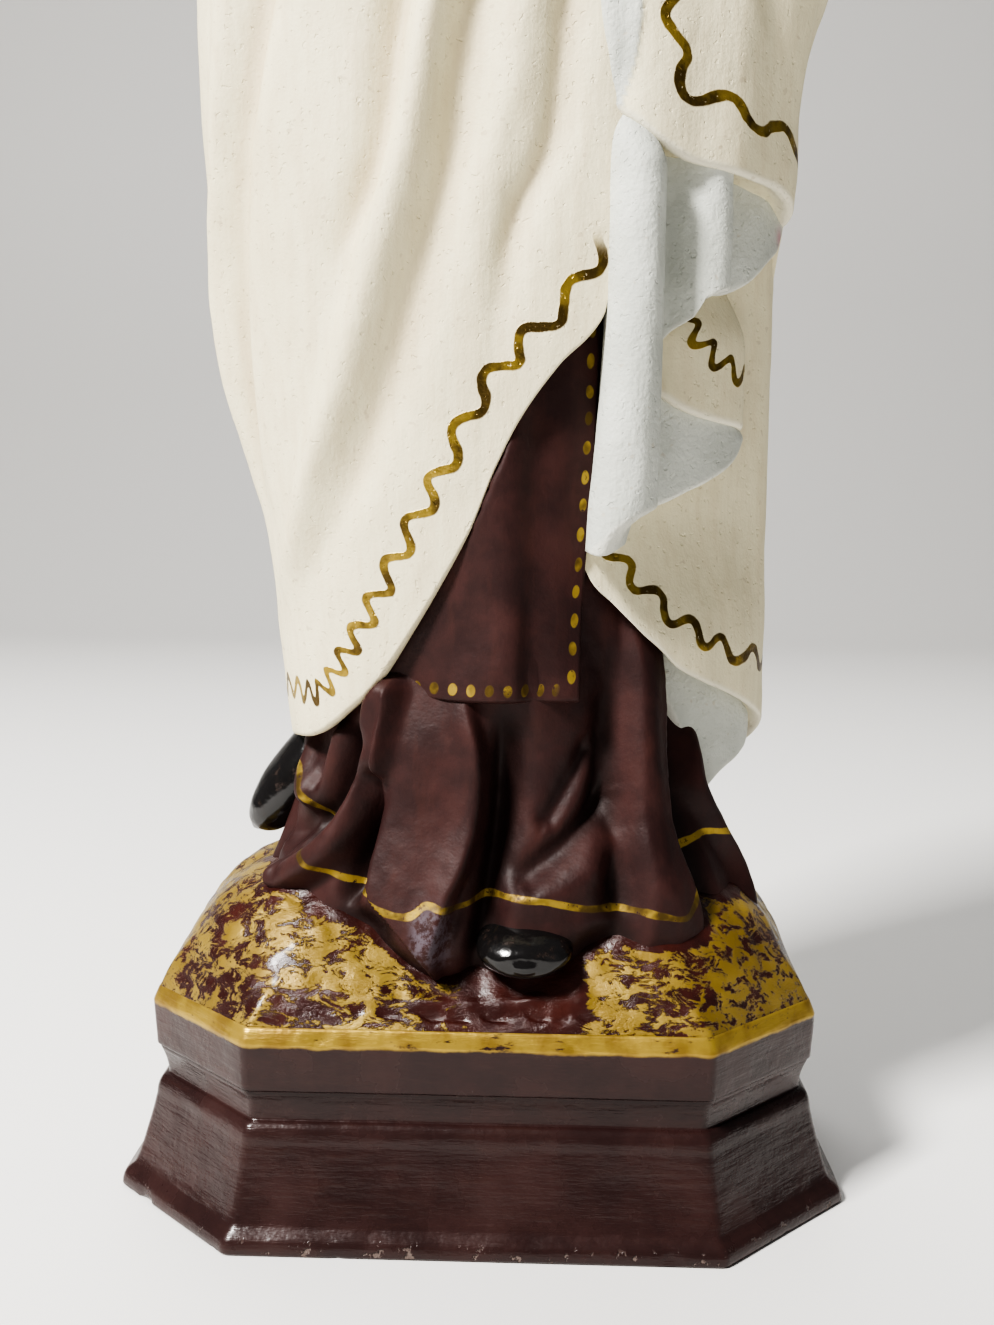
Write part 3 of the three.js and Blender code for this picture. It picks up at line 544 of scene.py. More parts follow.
ROBE_LINE = [
    (-180, 37), (-140, 37), (-112, 46), (-92, 58), (-76, 66), (-67.8, 63.2), (-60, 53), (-51, 44.5),
    (-46, 41), (-40, 38), (-33, 36.5), (-26, 33.5), (-18.4, 33), (-13.6, 36.4), (-6.7, 35.2),
    (2.7, 37.4), (16.6, 37.2), (28.5, 34.5), (40.6, 33.3), (50.7, 31), (57.1, 37.7), (62.3, 45),
    (70, 49), (84, 47), (110, 42), (140, 37), (180, 37),
]


def robe_layers(made):
    """Distance from the gilt line, the folds' depth for painted shade, and the tip in front for its
    wear and painted highlight.
    """
    points, quads, triangles = made
    angle, height, radius = polar(points)
    off = along(ROBE_LINE, angle, height, radius)[1]
    # hollow: depth of the folds, used to darken the robe's paint there as painted shade
    hollow = ramp(-total(ROBE_FOLDS, angle, height, robe_plan(angle, height)), 0.3, 4.0)
    # A spot on the tip in front: wear, and a painted grey-lilac highlight where the tip catches the
    # light.
    spot = np.exp(-(((angle + 12.5) / 4.6) ** 4) - ((height - 28) / 8) ** 4)
    return points, quads, triangles, {"line_off": off, "tip_scuff_and_highlight": spot, "hollow": hollow}


scapular_left = track((88, -50), (200, -42), (340, -36), (400, -36), (444, -62))
scapular_right = track(
    (88, 30.5), (120, 34), (155, 37), (184, 37.5), (340, 38.5), (400, 42), (444, 66),
)


def scapular_points():
    """Long front panel: the robe's plan plus a thickness rounded at its edges.

    Its layers are the distances from its right edge, foot and left edge, and the height.
    """
    foot = SCAPULAR_FOOT + 8 * np.linspace(0, 1, 12) ** 2
    spans = ((98, 240, 80), (246, 326, 8), (330, SCAPULAR_TOP, 50))
    height = np.concatenate([foot, *(np.linspace(*span) for span in spans)])[:, None]
    t = np.linspace(0, 1, 131)[None]
    t = 0.5 - 0.5 * np.cos(np.pi * t) * (1.06 - 0.06 * np.cos(np.pi * t) ** 2)
    angle = mix(scapular_left(height), scapular_right(height), t)
    base = robe_plan(angle, height)
    arc = np.radians(angle - scapular_left(height)) * base
    far = np.radians(scapular_right(height) - angle) * base
    rise = height - SCAPULAR_FOOT
    edge = np.clip(np.minimum(np.minimum(arc, far), rise * 1.3) / 1.5, 0, 1)
    lip = np.sqrt(np.clip(1 - (1 - edge) ** 2, 0, 1))
    wave = 1.6 * ramp(110 - height, 0, 20) * np.cos(np.radians(9 * angle + 60))
    crest = fold([(84, 9.5), (98, 9), (108, 9.5)], 2.0, 8, 2.4)
    groove = fold([(84, 16), (130, 15.5), (200, 16)], -1.8, 4, 6)
    crease = total([crest, groove], angle, height, base)
    radius = base + knee(angle, height, base) + crease + 0.7 + 1.7 * lip + wave
    radius = under_mantle(angle, height, radius)
    outer = place(angle, height, radius)
    outer = place(angle, height, radius + 0.2 * uneven(outer, 19, 31) + 0.08 * uneven(outer, 6, 32))
    level = 0 * angle
    layers = {"in_right": far, "in_bottom": rise + level, "run": height + level, "arc": arc}
    return slab(outer, place(angle, height, SCAPULAR_CORE + level), layers)


def slab(outer, inner, layers):
    """Closed thick sheet: an outer grid, an inner grid and the four strips between their edges."""
    rows, cols = outer.shape[:2]
    front = grid_faces(rows, cols, wrap=False)
    back = front[:, ::-1] + rows * cols
    r, c = np.arange(rows - 1), np.arange(cols - 1)
    n = rows * cols
    left = np.stack([r * cols, (r + 1) * cols, (r + 1) * cols + n, r * cols + n], -1)
    right = np.stack([r * cols, r * cols + n, (r + 1) * cols + n, (r + 1) * cols], -1) + cols - 1
    low = np.stack([c, c + n, c + 1 + n, c + 1], -1)
    high = np.stack([c, c + 1, c + 1 + n, c + n], -1) + (rows - 1) * cols
    quads = np.concatenate([front, back, left, right, low, high])
    points = np.concatenate([outer.reshape(-1, 3), inner.reshape(-1, 3)])
    layers = {key: np.tile(np.ravel(values), 2) for key, values in layers.items()}
    return points, quads, np.zeros((0, 3), int), layers


mantle_plan = plan(
    (50, 54, 76, 44, 52), (75, 58, 80, 46, 54), (100, 61, 80, 47, 55), (130, 64.5, 80, 48, 55),
    (160, 72, 79, 49, 55), (190, 78, 79, 50, 54), (230, 81.5, 83, 50, 53),
    (245, 82.8, 83.0, 50, 52.5), (256, 83.4, 84.5, 50, 52), (270, 83.8, 88.5, 50, 51),
    (290, 84.4, 94.5, 50, 50), (320, 86, 98.5, 51, 50), (345, 87, 98.5, 50, 49),
    (365, 86, 94.5, 46, 47), (385, 83, 88, 42, 45), (405, 79, 81, 37, 43),
    (422, 72.5, 73.5, 33, 41), (436, 62, 63, 30, 39), (447, 49, 49.5, 28, 37),
    (456, 38, 38, 26, 35.5), (464, 32, 32, 24, 33), (480, 24, 24, 18, 25), (500, 12, 12, 9, 12),
)
mantle_hem = track(
    (-180, 55), (-150, 56), (-120, 66), (-90, 72), (-75, 74), (-60.3, 75.9), (-52.9, 78.8),
    (-44.9, 84.1), (-36.3, 90.7), (-28.1, 100.6), (-17.1, 115.5), (-4.8, 133.9), (2.7, 149.5),
    (10, 162.3), (20.9, 176.3), (32, 188.4), (34, 200), (38, 231), (60, 232), (84, 230), (94, 190),
    (104, 90), (112, 62), (150, 56), (180, 55),
)

MANTLE_FOLDS = [
    fold(
        [(150, -74), (186, -70), (231, -66), (270, -59), (330, -50), (370, -46)], -4.2, 3.5, 5, 26,
    ),
    fold([(160, -79), (200, -76), (224, -72), (271, -65.5), (340, -58)], 3.0, 5, 4, 26),
    fold(
        [(120, -62), (142, -50), (180, -35.5), (234, -22), (265, -15), (300, -3), (322, 8)], 5.2,
        7.0, 5.5, 18, 1.1,
    ),
    fold(
        [(134, -50), (171, -32), (195, -23.5), (227, -12.4), (265, -8), (300, 5), (322, 15)], -3.6,
        4.5, 9,
    ),
    fold([(205, -40), (235, -30), (266, -26), (300, -17), (340, -8)], -4.4, 5, 5.5, 22),
    fold([(190, 3), (215, 8.7), (232, 18), (266, 22), (300, 27), (320, 30)], -2.8, 4, 5, 22),
    fold([(210, -6), (240, 4), (270, 10), (300, 17), (322, 24)], 2.2, 6, 6, 22),
    fold([(300, -40), (330, -24), (350, -8), (352, 6)], 2.6, 6, 5, 16),
    fold([(290, -52), (330, -42), (372, -30), (400, -26)], -2.6, 5, 5, 22),
    fold([(262, 66), (300, 60), (335, 48)], -3, 5, 5, 20),
    fold([(258, 82), (300, 78), (338, 64)], -2.6, 5, 6, 20),
    fold([(330, 92), (370, 84), (420, 70)], -3, 7, 7, 18),
    fold([(330, -96), (370, -84), (420, -72)], -3, 7, 7, 18),
]
ARMS = [limb((66, 328), (44, 346), 9, 20), limb((-78, 336), (-34, 388), 6, 19)]


def mantle_radius(angle, height):
    """Plan, carved folds, pleats behind and the arms underneath."""
    base = mantle_plan(angle, height)
    swing = np.cos(np.radians(12 * angle + 18 * np.sin(height / 70)))
    pleats = at_back(angle, height, (92, 122), (350, 430)) * 3.1 * swing
    return base + total(MANTLE_FOLDS + ARMS, angle, height, base) + pleats


hood_plan = plan(
    (442, 48, 48, 28, 37), (452, 42, 42, 28, 37.5), (460, 37, 37, 28, 36.5),
    (470, 34, 34, 28.5, 36.5), (484, 32.6, 32.6, 29.5, 38), (500, 32.8, 32.8, 31, 39.5),
    (514, 32, 32, 33.5, 38.5), (526, 28.6, 28.6, 34, 34), (535, 22.6, 22.6, 29, 27.5),
    (541.5, 15, 15, 20, 18.5), (545.4, 5.5, 5.5, 7, 7),
)
OPENING_FOOT, OPENING_TOP = 323.0, 530.2
opening_left = track(
    (OPENING_FOOT, 34), (335, 20), (349, 8), (366, -5), (389, -18), (414, -29), (436, -37),
    (456, -45), (470, -49), (500, -50), (512, -47), (520, -36), (526, -20), (530, -4),
)
opening_right = track(
    (OPENING_FOOT, 38), (335, 41), (366, 43), (389, 43), (414, 43), (436, 43), (456, 47),
    (470, 50), (500, 50), (512, 47), (520, 36), (526, 20), (530, 4),
)


def hood_radius(angle, height):
    """Hood plan with a rolled rim beside the opening, a tuck at the shoulder and pleats behind."""
    side = np.abs(turn(angle))
    base = hood_plan(angle, height)
    tuck = fold([(442, 96), (460, 84), (486, 74)], -1.6, 4, 4, 12)(side, height, base)
    roll = 1.3 * bell((side - opening_right(height) - 4) / 5) * ramp(height, 440, 470)
    pleats = at_back(angle, height, (95, 125), (450, 480)) * 2 * np.cos(np.radians(12 * angle))
    return base + tuck + roll + pleats


def veil_radius(angle, height):
    """Mantle and hood run together above the collar."""
    lower = mantle_radius(angle, height) * (1 - ramp(height, 470, 495))
    upper = np.where(height > 430, hood_radius(angle, np.maximum(height, 442)), 0.0)
    upper = upper * ramp(height, 430, 446)
    return melted(lower, upper, 24)


def bumps(points, big=0.2, small=0.08, seed=40):
    """Casting unevenness of the modelled surface, in millimetres."""
    return big * uneven(points, 18, seed) + small * uneven(points, 6, seed + 1)


def hem_lip(count, *hidden):
    """Rounded hem as (inset, rise) steps: those of the hidden underside, then a quarter round."""
    t = np.linspace(0, np.pi / 2, count)
    lip = np.stack([HEM_ROLL - HEM_ROLL * np.sin(t), HEM_ROLL - HEM_ROLL * np.cos(t)], -1)
    return np.concatenate([hidden, lip])


def inset_rows(lip, height):
    """Insets of a grid of heights whose first rows are those of a hem's lip."""
    inset = np.zeros_like(height)
    inset[: len(lip)] = lip[:, :1]
    return inset


VEIL_COLUMNS, GAP_COLUMNS = 431, 22
CROWN_ROWS = (529.5, 531, 533, 535.5, 538, 540.3, 542.2, 543.8, 545)
# The rim of the opening, column by column from its edge: how far in, and the share of the gap.
RIM = ((0.5, 0.0), (1.5, 0.0), (3.2, 0.02), (6.0, 0.03), (10.0, 0.04), (16.0, 0.05), (FAR, 0.08))


def opening_columns(height):
    """Angles at each height: the columns of the veil from edge to edge, then those of the gap."""
    closing = ramp(height, 530, 534)
    right, left = mix(opening_right(height), 4, closing), mix(opening_left(height), -4, closing)
    veil = right + np.linspace(0, 1, VEIL_COLUMNS)[None] * (360 + left - right)
    gap = 360 + left + np.linspace(0, 1, GAP_COLUMNS + 2)[None, 1:-1] * (right - left)
    return np.concatenate([veil, gap], 1)


def veil_rows():
    """Angle, height and inset of every point, from the hem's hidden underside to the crown.

    Below the opening the rows run from the hem upwards; beside it they are level.
    """
    low = np.linspace(0, 1, 84)[1:, None] ** 1.15
    high = np.concatenate([np.linspace(OPENING_FOOT, 528, 66)[1:], CROWN_ROWS])[:, None]
    foot, top = opening_columns(np.full((1, 1), OPENING_FOOT)), opening_columns(high)
    hem = mantle_hem(turn(foot))
    lip = hem_lip(7, (9.0, 6.0), (4.0, 1.2), (2.8, 0.35))
    angle = np.concatenate([np.repeat(foot, len(lip) + len(low), 0), top])
    face = hem + HEM_ROLL + low * (OPENING_FOOT - hem - HEM_ROLL)
    height = np.concatenate([hem + lip[:, 1:], face, high + 0 * top])
    return angle, height, inset_rows(lip, height)


def close_opening(angle, height, radius):
    """Lay the columns of the gap round a rim, then as a floor hidden behind the chest and the head.

    The columns beside the rim dip a little, for a soft edge.
    """
    level = height[:, :1]
    open_rows = ((level > OPENING_FOOT + 0.5) & (level < OPENING_TOP)).astype(float)
    left, right = opening_left(level), opening_right(level)
    k = np.arange(GAP_COLUMNS)
    depth = np.minimum(np.minimum(k, GAP_COLUMNS - 1 - k), len(RIM) - 1)
    inward, share = np.array(RIM)[depth].T
    first_half = k < GAP_COLUMNS / 2
    edge = np.where(first_half, 360 + left, 360 + right)
    rim_angle = edge + np.where(first_half, 1.0, -1.0) * share * (right - left)
    inside = robe_plan(turn(rim_angle), np.minimum(level, 450)) - 3.5
    floor_radius = mix(inside, 8.0, ramp(level, 436, 448))
    floor_angle = 360 + mix(left, right, (k[None] + 0.5) / GAP_COLUMNS)
    wall = np.maximum(veil_radius(turn(edge), level) - inward, floor_radius)
    deep = depth == len(RIM) - 1
    gap = (slice(None), slice(-GAP_COLUMNS, None))
    angle[gap] = mix(angle[gap], np.where(deep, floor_angle, rim_angle), open_rows)
    radius[gap] = mix(radius[gap], np.where(deep, floor_radius, wall), open_rows)
    dip = np.zeros(angle.shape[1])
    dip[[0, VEIL_COLUMNS - 1]], dip[[1, VEIL_COLUMNS - 2]] = 0.9, 0.25
    radius -= dip[None] * open_rows


# The painted border of the mantle: (angle, height) in front and behind, and (run, period) in front.
BORDER_FRONT = [
    (-175, 71), (-150, 72), (-120, 82), (-90, 88), (-70, 89), (-53.7, 89.4), (-42, 102.6),
    (-33.8, 115), (-24.5, 131), (-14, 148), (-2, 168.5), (9.6, 181), (24.5, 195), (33, 212),
]
BORDER_BACK = [(96, 95), (104, 84), (112, 79), (125, 75), (150, 72), (185, 71)]
BORDER_PERIODS = [
    (0, 11), (125, 9), (144, 6.6), (163, 8.6), (180, 11), (198, 13), (219, 15), (244, 17),
    (285, 18),
]


def border_layers(angle, height, radius):
    """Waves counted along the border, distance from its middle, its fade, and the folds' depth, for
    patina and painted shade in the hollows.
    """
    flat = mantle_plan(turn(angle), height)
    # hollow: depth of the mantle's folds, where the ivory is tinted darker tan as patina and
    # painted shade
    hollow = ramp(flat - mantle_radius(turn(angle), height), 0.4, 3.6)
    run, off = along(BORDER_FRONT, turn(angle), height, radius)
    back_run, back_off = along(BORDER_BACK, turn(angle - 140) + 140, height, radius)
    nearer = np.abs(back_off) < np.abs(off)
    back_waves = cycles(back_run, (0, 11), (LONGEST_RUN, 11))
    return {
        "wave_run": capped(np.where(nearer, back_waves, cycles(run, *BORDER_PERIODS)), off.shape),
        "wave_off": capped(np.where(nearer, back_off, off), off.shape, FAR, FAR),
        "hollow": capped(hollow * (1 - ramp(height, 420, 450)), off.shape),
        "fade": capped(ramp(height, 204, 210.5), off.shape),
    }


def mantle_points():
    """Mantle and hood as one closed skin whose columns follow the edges of the front opening."""
    angle, height, inset = veil_rows()
    radius = veil_radius(turn(angle), height) - inset
    radius = radius + bumps(place(angle, height, radius))
    close_opening(angle, height, radius)
    skin = drum(place(angle, height, radius), (0, 0, LEDGE + 250), (0, 0, LEDGE + 546))
    return (*skin, border_layers(angle, height, radius))


# The gathered end of the mantle: each layer stands behind the one above and runs in to the body.


def layer(
    start, end, hem, top, radius, cols, rows, core=26.0, wave=None, lining=0.0, strip=None, tuck=0.0
):
    """One closed fold layer: a grid from a rounded hem up to its top, backed by a core in the body.

    It runs from the angle start(height) to the angle end, and from hem(angle) to top(angle), at
    radius(angle, height). wave is its border, a path and a period; strip is a share across the
    turned-over lining. The core's first edge may be turned in by tuck degrees, to hide its wall.
    """
    u = np.linspace(0, 1, cols)[None]
    t = np.linspace(0, 1, rows)[1:, None] ** 1.2
    lip = hem_lip(6, (7.0, 3.0), (3.4, 0.9), (2.4, 0.25))
    first = mix(start(hem(mix(start(0.0), end, u))), end, u)
    base = hem(first)
    face = base + HEM_ROLL + t * (top(first) - base - HEM_ROLL)
    height = np.concatenate([base + lip[:, 1:], face])
    inset = inset_rows(lip, height)
    angle = mix(start(height) + (1.5 * inset if tuck else 0), end, u)
    out = radius(angle, height) - inset
    points = place(angle, height, out + bumps(place(angle, height, out), 0.18, 0.08, 60))
    layers = {
        "lining": lining + 0 * height,
        "stain": lining * bell((angle - 84.5) / 1.8) * bell((height - 216) / 2.6),
        "edge": 1 - ramp(height - base, 0.4, 2.2),
        "wave_run": 0 * height,
        "wave_off": FAR + 0 * height,
    }
    if wave:
        path, period = wave
        run, layers["wave_off"] = along(path, angle, height, out)
        layers["wave_run"] = cycles(run, (0, period), (LONGEST_RUN, period))
    if strip:
        layers["lining"] = 1 - ramp(strip(angle, height), 0.9, 1.02)
    return slab(points, place(angle + tuck * (1 - u), height, core + 0 * height), layers)


def fixed(value):
    """A curve that is level everywhere."""
    return lambda where: value + 0 * np.asarray(where, float)


outer_start = track((222, 33.6), (240, 33.2), (252, 31.6), (266, 29.6), (300, 28), (330, 29))
outer_strip = track((236, 0.6), (240, 1.2), (252, 5.0), (266, 8.0), (300, 9), (330, 9))
outer_fold = track(
    (34, 0.5), (38, 3.5), (44, 4), (50, 3.4), (58, 4.4), (66, 3.2), (76, 3.4), (86, 0.8), (96, 0.6),
    (108, 1.0), (122, -2),
)
outer_hem = track(
    (31, 241), (34, 240), (37.7, 236.4), (41.3, 232.8), (47.9, 228.6), (55.9, 226.8), (63.2, 225.8),
    (70.1, 224.9), (75.6, 222.6), (84, 220), (96, 222), (108, 232), (122, 252),
)
lining_fold = track(
    (44, 58), (49, 59), (51.6, 61.5), (53.6, 69.4), (57.0, 73.2), (60.5, 72.4), (62.8, 66.5),
    (65, 63.5), (70.6, 68.5), (78, 76.5), (84.4, 80.6), (93, 83),
)
middle_fold = track(
    (44, 52), (52.3, 58.5), (57, 61.6), (62.6, 65.4), (68, 69), (74, 72.2), (79, 72),
)
inner_fold = track(
    (28, 48), (30, 49), (37, 53), (44, 54.5), (54.6, 56.2), (62, 61), (68, 66.5), (73, 70.6),
    (78, 72.4), (82, 72),
)
low_out = track(
    (31.5, 46.5), (33.2, 50.4), (42, 53), (48, 55.8), (55, 58.9), (60, 61.2), (67, 65.7),
    (73.4, 69.5), (80, 75.1), (89.5, 80.6), (96, 81.5), (104, 80), (118, 71.5),
)
low_in = track(
    (31.5, 44), (50, 48), (65, 55), (72, 60), (77.7, 65.5), (84, 71.8), (90, 79.4), (96, 81.5),
    (104, 80.2), (118, 71.5),
)
last_fold = track((68, 53), (72, 57.5), (78, 63.5), (83.5, 69.5), (90, 76), (96, 78), (104, 76))
lining_hem = track(
    (44, 181), (48.3, 181), (52.8, 189), (54, 194.4), (60.9, 197.5), (69.8, 198), (75, 201.8),
    (79, 207.4), (83.9, 212.3), (88.4, 219.3), (93, 224),
)
middle_hem = track((44, 172), (52.3, 170), (57, 167.1), (62.6, 164.8), (72, 163), (79, 162))
inner_hem = track(
    (26, 127.6), (28.6, 127.8), (30, 130.3), (32, 133.6), (34, 135.6), (37, 137.6), (40, 138.8),
    (43.5, 139.8), (48, 140.2), (52, 140.4), (57, 141.8), (62, 144.6), (67, 147.8), (72, 152),
    (75, 155.4), (77, 158), (82, 162),
)
low_hem = track(
    (31.5, 127), (33.2, 125), (36.1, 119.5), (41.9, 114.4), (48.2, 107.3), (54.9, 101.1),
    (59.9, 96.4), (67.1, 92.3), (73.4, 89.4), (80, 85.2), (89.5, 79.1), (96, 74), (104, 68),
    (118, 62),
)
last_hem = track(
    (68, 90), (75.5, 68), (77.1, 57.6), (79.1, 59.1), (82.8, 63.9), (87.8, 68), (92.5, 72.4),
    (97, 80), (104, 90),
)


def strip_share(angle, height):
    """Share of the way across the turned-over strip beside the front panel, 1 at its far side."""
    return (angle - outer_start(height)) / outer_strip(height)


inner_start = track((128, 28.6), (140, 29.2), (152, 30.2), (172, 31.6), (190, 32.6), (246, 32.6))


def outer_radius(angle, height):
    """Top layer: the mantle's face pushed out in soft folds that melt into it over the arm."""
    fall = 1 - ramp(height, 250, 318)
    x = np.clip(strip_share(angle, height), 0, 1)
    roll = 1.6 * np.sqrt(np.clip(4 * x * (1 - x), 0, 1)) * ramp(height, 242, 256)
    pushed = mantle_radius(angle, height) + outer_fold(angle) * fall * ramp(x, 0.2, 1)
    return pushed + roll - 0.9 * (1 - fall)


def inner_radius(angle, height):
    """Lower lining melted into its rolled edge: a half column that thins up from the hem."""
    lean = 3.0 * ramp(height, 170, 200)
    flat = inner_fold(angle) - lean - 7 * ramp(angle, 70, 78) * ramp(height, 159, 172)
    foot = 1 - ramp(height, 130, 195)
    half = mix(6.8, 10.2, foot)
    x = (angle - inner_start(height) - half) / half
    column = 56 + 11.0 * np.sqrt(1 - np.clip(x, -1, 1) ** 2)
    roll = column - 3.0 * foot - 9 * ramp(height, 226, 243)
    roll = roll - 16 * ramp(x, 0.95, 1.5)
    return melted(flat, roll, 12)


def middle_radius(angle, height):
    """Middle layer: it leans in at its top to lie under the lining above."""
    return middle_fold(angle) - 8 * ramp(height, 184, 208)


def low_radius(angle, height):
    """Lowest outer layer: hollow above, swung out towards its hem."""
    return mix(low_out(angle), low_in(angle), ramp(height, 100, 140))


def by_angle(curve):
    """A radius that follows the angle alone."""
    return lambda angle, height: curve(angle) + 0 * height


def fall_points():
    """All layers of the gathered end, front to back, three of them with a border."""
    first = [
        (43, 334), (44, 300), (44, 272), (44.5, 254), (47.5, 246), (53, 243.5), (59, 241.5),
        (66, 240), (75, 237), (86, 235.5), (96, 237), (108, 247), (122, 267),
    ]
    second = [(57, 198), (58.5, 190), (62, 184), (67, 179.5), (73, 177), (80, 176.5)]
    third = [
        (42.5, 138), (44, 130), (48, 124), (54, 117), (60, 110.5), (68, 104.5), (78, 99.5),
        (92, 95), (104, 84), (118, 78),
    ]
    outer_top = track((34, 318), (60, 330), (96, 330), (122, 300))
    inner_top = track((33, 247), (48, 246), (54, 200), (60, 180), (74, 176), (82, 168))
    return joined(
        [
            layer(
                outer_start, 122, outer_hem, outer_top, outer_radius, 130, 82, 40, (first, 19),
                strip=strip_share,
            ),
            layer(
                fixed(44), 93, lining_hem, fixed(238), by_angle(lining_fold), 110, 36, lining=1.0,
            ),
            layer(fixed(44), 79, middle_hem, fixed(216), middle_radius, 70, 30, wave=(second, 8.0)),
            layer(
                inner_start, 82, inner_hem, inner_top, inner_radius, 176, 78, 30.0, lining=1.0,
                tuck=44,
            ),
            layer(
                fixed(31.5), 118, low_hem, fixed(238), low_radius, 126, 78, 30.0, (third, 12.4),
                tuck=36,
            ),
            layer(fixed(68), 104, last_hem, fixed(110), by_angle(last_fold), 70, 30, lining=1.0),
        ]
    )


# Hands, sleeves, shoes, neck.


def tube(*stations, sides=26, steps=30):
    """A rounded tube through (across, back, height, half width, half thickness) stations.

    Each value runs as a smooth curve; rings stand square to the path; the ends are domed.
    """
    keys = np.array([s if len(s) == 5 else (*s, s[3]) for s in stations], float)
    t = np.linspace(0, len(keys) - 1, steps)
    x, y, h, wide, thick = (track(*enumerate(values))(t) for values in keys.T)
    spine = np.stack([x, y, LEDGE + h], -1)
    way = np.gradient(spine, axis=0)
    way /= np.linalg.norm(way, axis=1)[:, None]
    up = np.where(np.abs(way[:, 2:]) > 0.9, [[0.0, 1.0, 0.0]], [[0.0, 0.0, 1.0]])
    side = np.cross(way, up)
    side /= np.linalg.norm(side, axis=1)[:, None]
    lift = np.cross(way, side)
    a = np.linspace(-np.pi, np.pi, sides + 1)[:-1]
    rings = (
        spine[:, None]
        + side[:, None] * (wide[:, None] * np.cos(a))[..., None]
        + lift[:, None] * (thick[:, None] * np.sin(a))[..., None]
    )
    dome = way * wide[:, None] * 0.4
    return (*drum(rings, spine[0] - dome[0], spine[-1] + dome[-1]), {})


def fingers(knuckle, joint, tip, across, lengths, thickness):
    """Four fingers side by side across the palm: knuckles, middle joints and tips."""
    made = []
    for i, length in enumerate(lengths):
        shift = np.array(across) * (i - 1.5) * thickness * 1.8
        k, j, e = (np.array(p, float) + shift for p in (knuckle, joint, tip))
        j, e = k + (j - k) * length, k + (e - k) * length
        made.append(
            tube(
                (*k, thickness * 0.95), (*mix(k, j, 0.55), thickness * 0.9),
                (*j, thickness * 0.98), (*mix(j, e, 0.5), thickness * 0.84),
                (*mix(j, e, 0.92), thickness * 0.68), (*e, thickness * 0.3),
            )
        )
    return made


def hand_points():
    """The hand laid on the breast and the hand that holds the mantle at the waist."""
    laid = [
        tube((-32, -30, 384, 6.5, 8), (-24, -38, 390, 5.8, 8.2), (-15, -41.5, 395, 5, 9.2),
             (-7, -42.5, 400, 4.4, 9.8), (-1, -42.5, 403.5, 3.6, 9.4), (2, -42, 405, 2, 7)),
        *fingers(
            (-2, -43, 403.5), (9, -44.2, 410), (19, -40.5, 416), (-0.5, 0, 0.86),
            (0.8, 0.95, 1, 0.92), 2.45,
        ),
        tube(
            (-17, -43, 401, 3), (-9, -45.5, 409, 3.1), (-2, -45.5, 416, 2.6), (3, -43.5, 420, 2),
            (4, -43, 421, 1),
        ),
    ]
    held = [
        tube((66, -34, 352, 7, 8), (57, -44, 349, 6.2, 8), (49, -52, 345, 5.6, 9),
             (42, -57, 341.5, 4.8, 9.4), (38, -58.5, 340, 3, 8)),
        *fingers(
            (39, -59, 340), (31, -61.5, 336), (27.5, -54, 331), (0.12, 0, 0.95),
            (0.86, 0.96, 1, 0.93), 2.6,
        ),
        tube(
            (50, -52, 353, 3), (42, -57, 355, 3), (34, -58, 353, 2.6), (29, -55, 350, 2),
            (28, -54, 349.5, 1),
        ),
    ]
    return joined(laid + held)


def sleeve_points():
    """Two close cuffs of the robe at the wrists."""
    return joined(
        [
            tube(
                (-46, -14, 372, 12), (-36, -26, 381, 11.5), (-29, -34, 386.5, 11.4),
                (-22.6, -38.6, 390.6, 10.6), (-21.8, -39.1, 391, 9.4), (-21.4, -39.4, 391.2, 6),
            ),
            tube(
                (74, -20, 350, 13), (66, -33, 351, 12.5), (60, -40.5, 350, 11.5),
                (59.2, -41.6, 350, 10), (59, -42, 350, 6),
            ),
        ]
    )


def shoe_points():
    """The toe that shows under the hem in front and the shoe that stands out at the left."""
    return joined(
        [
            tube((11.5, -30, 28, 10, 6), (11.5, -42, 26.5, 12, 6.6), (11.8, -50, 24.8, 13, 6.6),
                 (12, -56.5, 22.8, 12, 5.6), (12, -60.6, 21.4, 8, 3.8), (12, -62.2, 21, 3, 1.4),
                 sides=48, steps=50),
            tube((-47, 4, 73, 9.5, 8), (-54.5, 3, 63, 11.4, 9), (-61, 2, 54, 11, 9),
                 (-66.2, 1, 48, 8.4, 6.8), (-69, 0.5, 45, 5.2, 4.4), (-70.4, 0.3, 43.4, 1.8, 1.5),
                 sides=48, steps=50),
        ]
    )


# The head, on common proportions: eyes half way up, nose and mouth dividing the lower half.

HEAD_AT = np.array([0.0, -1.5, 502.0])
HEAD_BOW, HEAD_TURN = np.radians(7.0), np.radians(-5.0)
EYE_ACROSS = 9.8
head_wide = track(
    (-35, 3), (-33.5, 8), (-30, 12), (-25, 15.5), (-18, 18.4), (-8, 21.3), (0, 22.8), (10, 23.6),
    (19, 22.2), (26, 18.3), (31, 12.6), (34, 6.4), (35, 2),
)
head_front = track(
    (-35, 6), (-34, 14), (-31.5, 19.5), (-27, 21.6), (-18, 21.8), (-8, 23), (0, 23.6), (10, 25.2),
    (19, 24), (26, 19.6), (31, 13.4), (34, 6.8), (35, 2),
)
head_back = track(
    (-35, 2), (-32, 6), (-26, 10), (-18, 15), (-8, 22), (2, 27.6), (12, 29.6), (21, 26.8), (28, 20),
    (33, 10.6), (35, 2),
)
# Rounded features (across, up, rise, half width, half height), on both sides if off the middle.
FEATURES = [
    (0, -1, 2.6, 2.2, 6.5), (0, -7.5, 4.2, 2.7, 4.6), (0, -10.4, 2.4, 3.1, 2.3),
    (3.4, -11, 1.7, 1.8, 1.6), (9.6, 1.2, -3.2, 5.6, 4), (EYE_ACROSS, -0.4, 2.5, 4.3, 2.5),
    (0, -16.9, 1.7, 4.6, 1.25), (0, -20.2, 1.9, 3.9, 1.4), (0, -18.6, -1, 4.8, 0.7),
    (0, -29, 2.3, 5.5, 4.2), (12.5, -9, 1.2, 6, 6),
]


